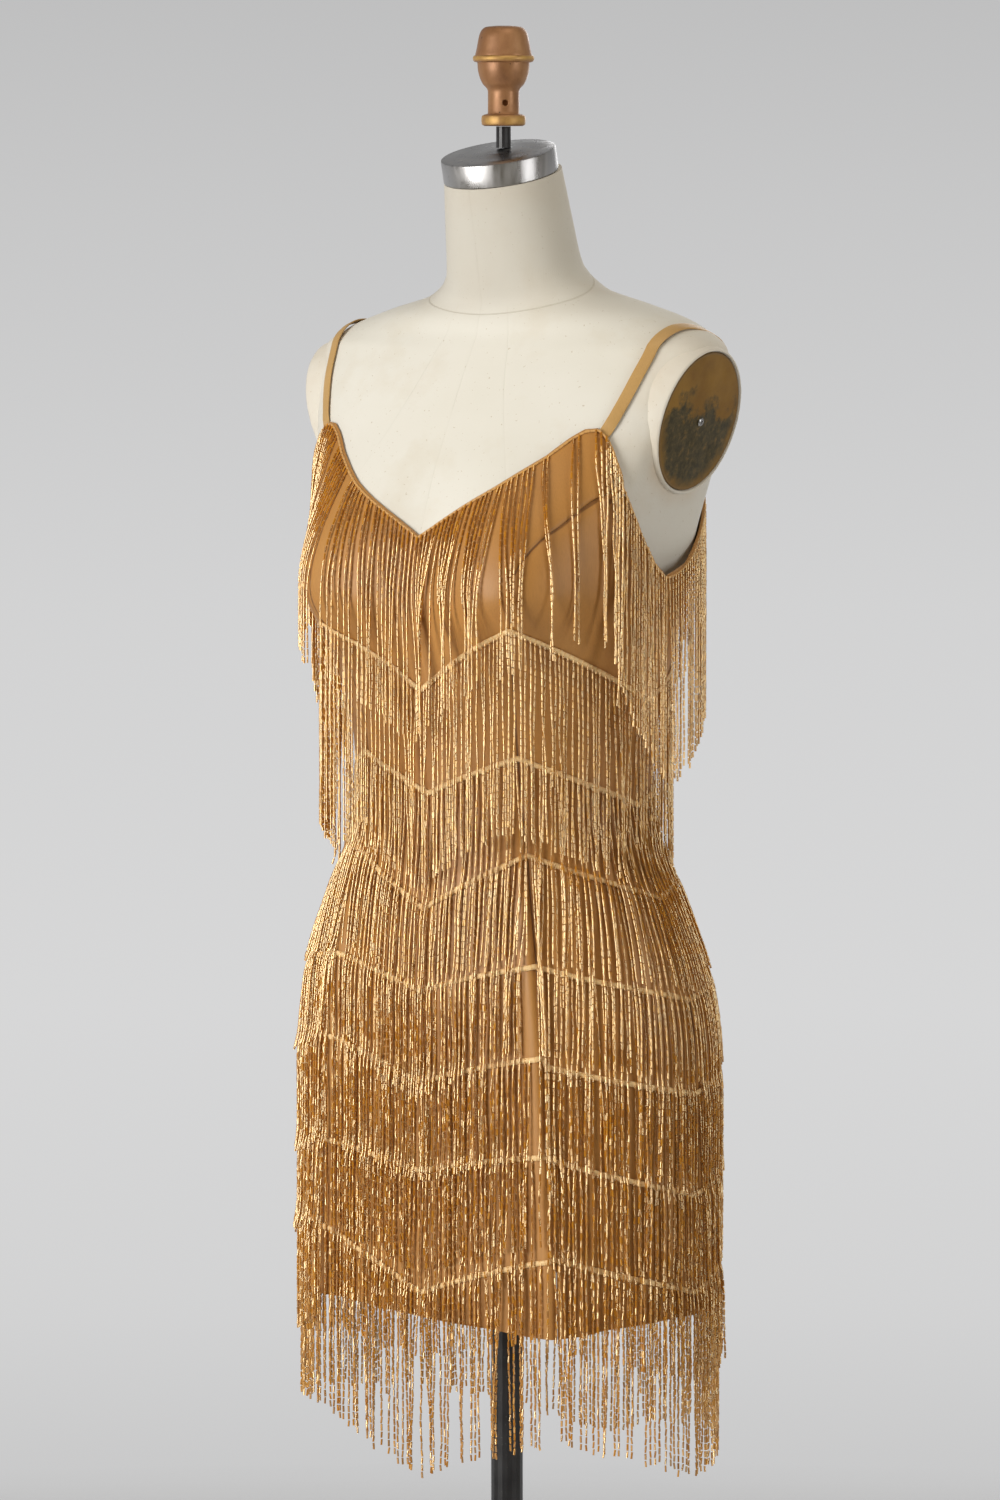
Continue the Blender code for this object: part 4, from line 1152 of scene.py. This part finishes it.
def thread_mesh(name, paths):
    """Thin three-sided threads inside the beads, from the braid to the last bead."""
    every = paths[:, ::5]
    count, steps, _ = every.shape
    sides = 3
    vertices = []
    for i in range(sides):
        turn = math.tau * i / sides
        vertices.append(every + np.array((math.cos(turn), math.sin(turn), 0)) * THREAD_RADIUS)
    vertices = np.stack(vertices, axis=2).reshape(-1, 3)
    faces = []
    for i in range(count):
        faces += tube_faces(steps, sides, i * steps * sides)
    return mesh_object(name, vertices, faces, thread, 80)


def beads_on(name, paths, tree, bead, tilt, seed):
    count, steps, _ = paths.shape
    mesh = bpy.data.meshes.new(name)
    edges = [(i * steps + k, i * steps + k + 1) for i in range(count) for k in range(steps - 1)]
    mesh.from_pydata(paths.reshape(-1, 3).tolist(), edges, [])
    made = linked(name, mesh)
    grow = made.modifiers.new("beads", "NODES")
    grow.node_group = tree
    wanted = {"Bead": bead, "Finish": glass, "Pitch": BEAD_PITCH, "Tilt": tilt, "Seed": seed}
    for item in tree.interface.items_tree:
        if item.name in wanted:
            grow[item.identifier] = wanted[item.name]
    settle(made)
    return made


def strand_roots(outline, row):
    """Where strands start: not at bare places, and few of them on the ridge of cloth."""
    roots = spaced(outline, STRAND_PITCH)
    turn = signed_degrees(roots[:, 0])
    kept = np.full(len(roots), True)
    if row == EDGE_ROW:
        for first, last in EDGE_GAPS:
            kept &= (turn < first) | (turn > last)
    if row > 2:
        beside = turn - np.degrees(princess_angle(roots[:, 1]))
        strip = 4.4 if row > 4 else 3.8
        kept &= (beside < -strip) | (beside > -1.5) | (random.random(len(roots)) < 0.2)
    roots = roots[kept]
    body_radius = 0.12
    below_outline = 0.0035
    off_cloth = 0.0013
    angle = roots[:, 0] + random.normal(0, 0.0004, len(roots)) / body_radius
    height = roots[:, 1] - below_outline
    return place(angle, height, cloth_radius(angle, height) + off_cloth)


def strand_paths(starts, row, length, group, grip):
    """Hung and swayed strands of nearly one length. A few are broken off short."""
    count = len(starts)
    lengths = length + random.normal(0, 0.0022, count)
    broken = random.random(count) < BROKEN_SHARE
    lengths[broken] *= random.uniform(0.55, 0.95, broken.sum())
    lift = np.full(count, 0.0015) + random.uniform(0, 0.0009, count)
    paths = sway(hang(starts, row, lengths, lift), lengths, group, grip)
    return clear_of_cloth(paths, row, lift)


def build_fringe():
    """The fringe of the upper edge and the rounds: braid, threads and beads of each."""
    tree = bead_tree()
    bead = bead_shape()
    trims = []
    for row in range(EDGE_ROW, len(ROWS)):
        if row == EDGE_ROW:
            name = "edge"
            outline = edge_outline()
            sewn_on = build_braid("edge_piping", outline, *EDGE_CORD, cord)
            length, tip = EDGE_STRAND_LENGTH, EDGE_TIP
            lean = (8, 0.85)
        else:
            name = "row_" + str(row + 1)
            outline = row_outline(row)
            sewn_on = build_braid("braid_" + name, outline, *ROW_BRAID, braid)
            length, tip = ROWS[row, 6:]
            lean = (5, 0.5)
        paths = strand_paths(strand_roots(outline, row), row, length, *lean)
        strands = beads_on("beads_" + name, paths, tree, bead, float(tip), 100 + row)
        threads = thread_mesh("threads_" + name, paths)
        add_piece(strands, "beads", "fringe_" + name)
        add_piece(threads, "beads")
        add_piece(sewn_on, "beads")
        trims += [strands, threads, sewn_on]
    bpy.data.objects.remove(bead)
    return trims


form = build_torso()
build_neck_cap()
build_finial()
build_stand()
build_arm_plates()
cloth = build_cloth()
straps = build_straps()
trims = build_fringe()


# Studio

ROOM_TONE = (0.132, 0.110, 0.070)
FLOOR_RADIUS = 3.2


def soft_box(name, azimuth, distance, height, width, tall, power, aim, colour=(1, 1, 1)):
    """A lamp at an azimuth, distance and height, turned to a height on the form's axis."""
    turn = math.radians(azimuth)
    at = Vector((distance * math.sin(turn), -distance * math.cos(turn), height))
    lamp = bpy.data.lights.new(name, "AREA")
    lamp.shape = "RECTANGLE"
    lamp.size = width
    lamp.size_y = tall
    lamp.energy = power
    lamp.color = colour
    made = linked(name, lamp)
    made.location = at
    made.rotation_euler = (Vector((0, 0, aim)) - at).to_track_quat("-Z", "Y").to_euler()


def build_world():
    """A pale backdrop all round, and for light and reflections a dim warm room in front."""
    world = bpy.data.worlds.new("studio")
    bpy.context.scene.world = world
    world.use_nodes = True
    w = Nodes(world.node_tree)
    where = w.add("ShaderNodeTexCoord", out="Generated")
    up = w.add("ShaderNodeSeparateXYZ", {0: where}, out="Z")
    level = w.add("ShaderNodeMapRange", {"Value": up, "From Min": -0.3, "From Max": 0.7})
    greys = ((0.128, 0.57), (0.154, 0.65), (0.192, 0.679), (0.243, 0.648), (0.294, 0.571),
             (0.32, 0.522), (0.45, 0.43), (0.75, 0.34))
    backdrop = w.ramp(level, *((at, (grey, grey, grey * 1.004)) for at, grey in greys))
    rear = (-math.sin(CAMERA_AZIMUTH), math.cos(CAMERA_AZIMUTH), 0)
    toward = w.add("ShaderNodeVectorMath", {0: where, 1: rear}, out="Value",
                   operation="DOT_PRODUCT")
    share = w.add("ShaderNodeMapRange", {"Value": toward, "From Min": -0.25, "From Max": 0.65},
                  interpolation_type="SMOOTHSTEP")
    seen = w.add("ShaderNodeLightPath", out="Is Camera Ray")
    shown = w.mix(w.math("MAXIMUM", share, seen), ROOM_TONE, backdrop)
    w.wire(w.tree.nodes["Background"], "Color", shown)


def build_floor():
    """A round floor that fades into the backdrop."""
    f = Finish("studio floor", Roughness=0.9)
    away = f.add("ShaderNodeVectorMath", {0: f.coordinates()}, out=1, operation="LENGTH")
    fade = f.ramp(f.math("DIVIDE", away, FLOOR_RADIUS, clamp=True), (0.25, 1.0), (0.95, 0.0))
    mottle = f.ramp(f.noise(3, 2), (0.3, 0.76), (0.7, 0.79))
    finish = f.finish(Base_Color=mottle, Alpha=fade)
    turned("floor", [(-0.02, FLOOR_RADIUS), (0.0, FLOOR_RADIUS)], finish, 96)


def build_camera():
    distance = 6.2
    height = 1.555
    looks_down = math.radians(4.37)
    metres_per_pixel = 0.00079
    frame_height = 1500
    sensor = 36
    lens = bpy.data.cameras.new("camera")
    lens.sensor_fit = "VERTICAL"
    lens.sensor_height = sensor
    lens.lens = distance / metres_per_pixel / frame_height * sensor
    lens.shift_x = -7 / frame_height
    made = linked("camera", lens)
    made.location = (distance * math.sin(CAMERA_AZIMUTH), -distance * math.cos(CAMERA_AZIMUTH),
                     height)
    made.rotation_euler = (math.pi / 2 - looks_down, 0, CAMERA_AZIMUTH)
    bpy.context.scene.camera = made


build_world()
build_floor()
soft_box("key", -15, 3.0, 1.54, 1.6, 1.95, 88, 1.3, (1.0, 0.985, 0.965))
soft_box("fill", 93, 3.2, 1.54, 0.9, 1.95, 28, 1.3)
soft_box("rim", 200, 2.8, 2.0, 1.2, 1.4, 18, 1.15)
soft_box("top", 60, 0.9, 3.3, 1.4, 1.4, 15, 1.4, (1.0, 0.93, 0.82))
build_camera()
bpy.context.scene.view_settings.view_transform = "Standard"
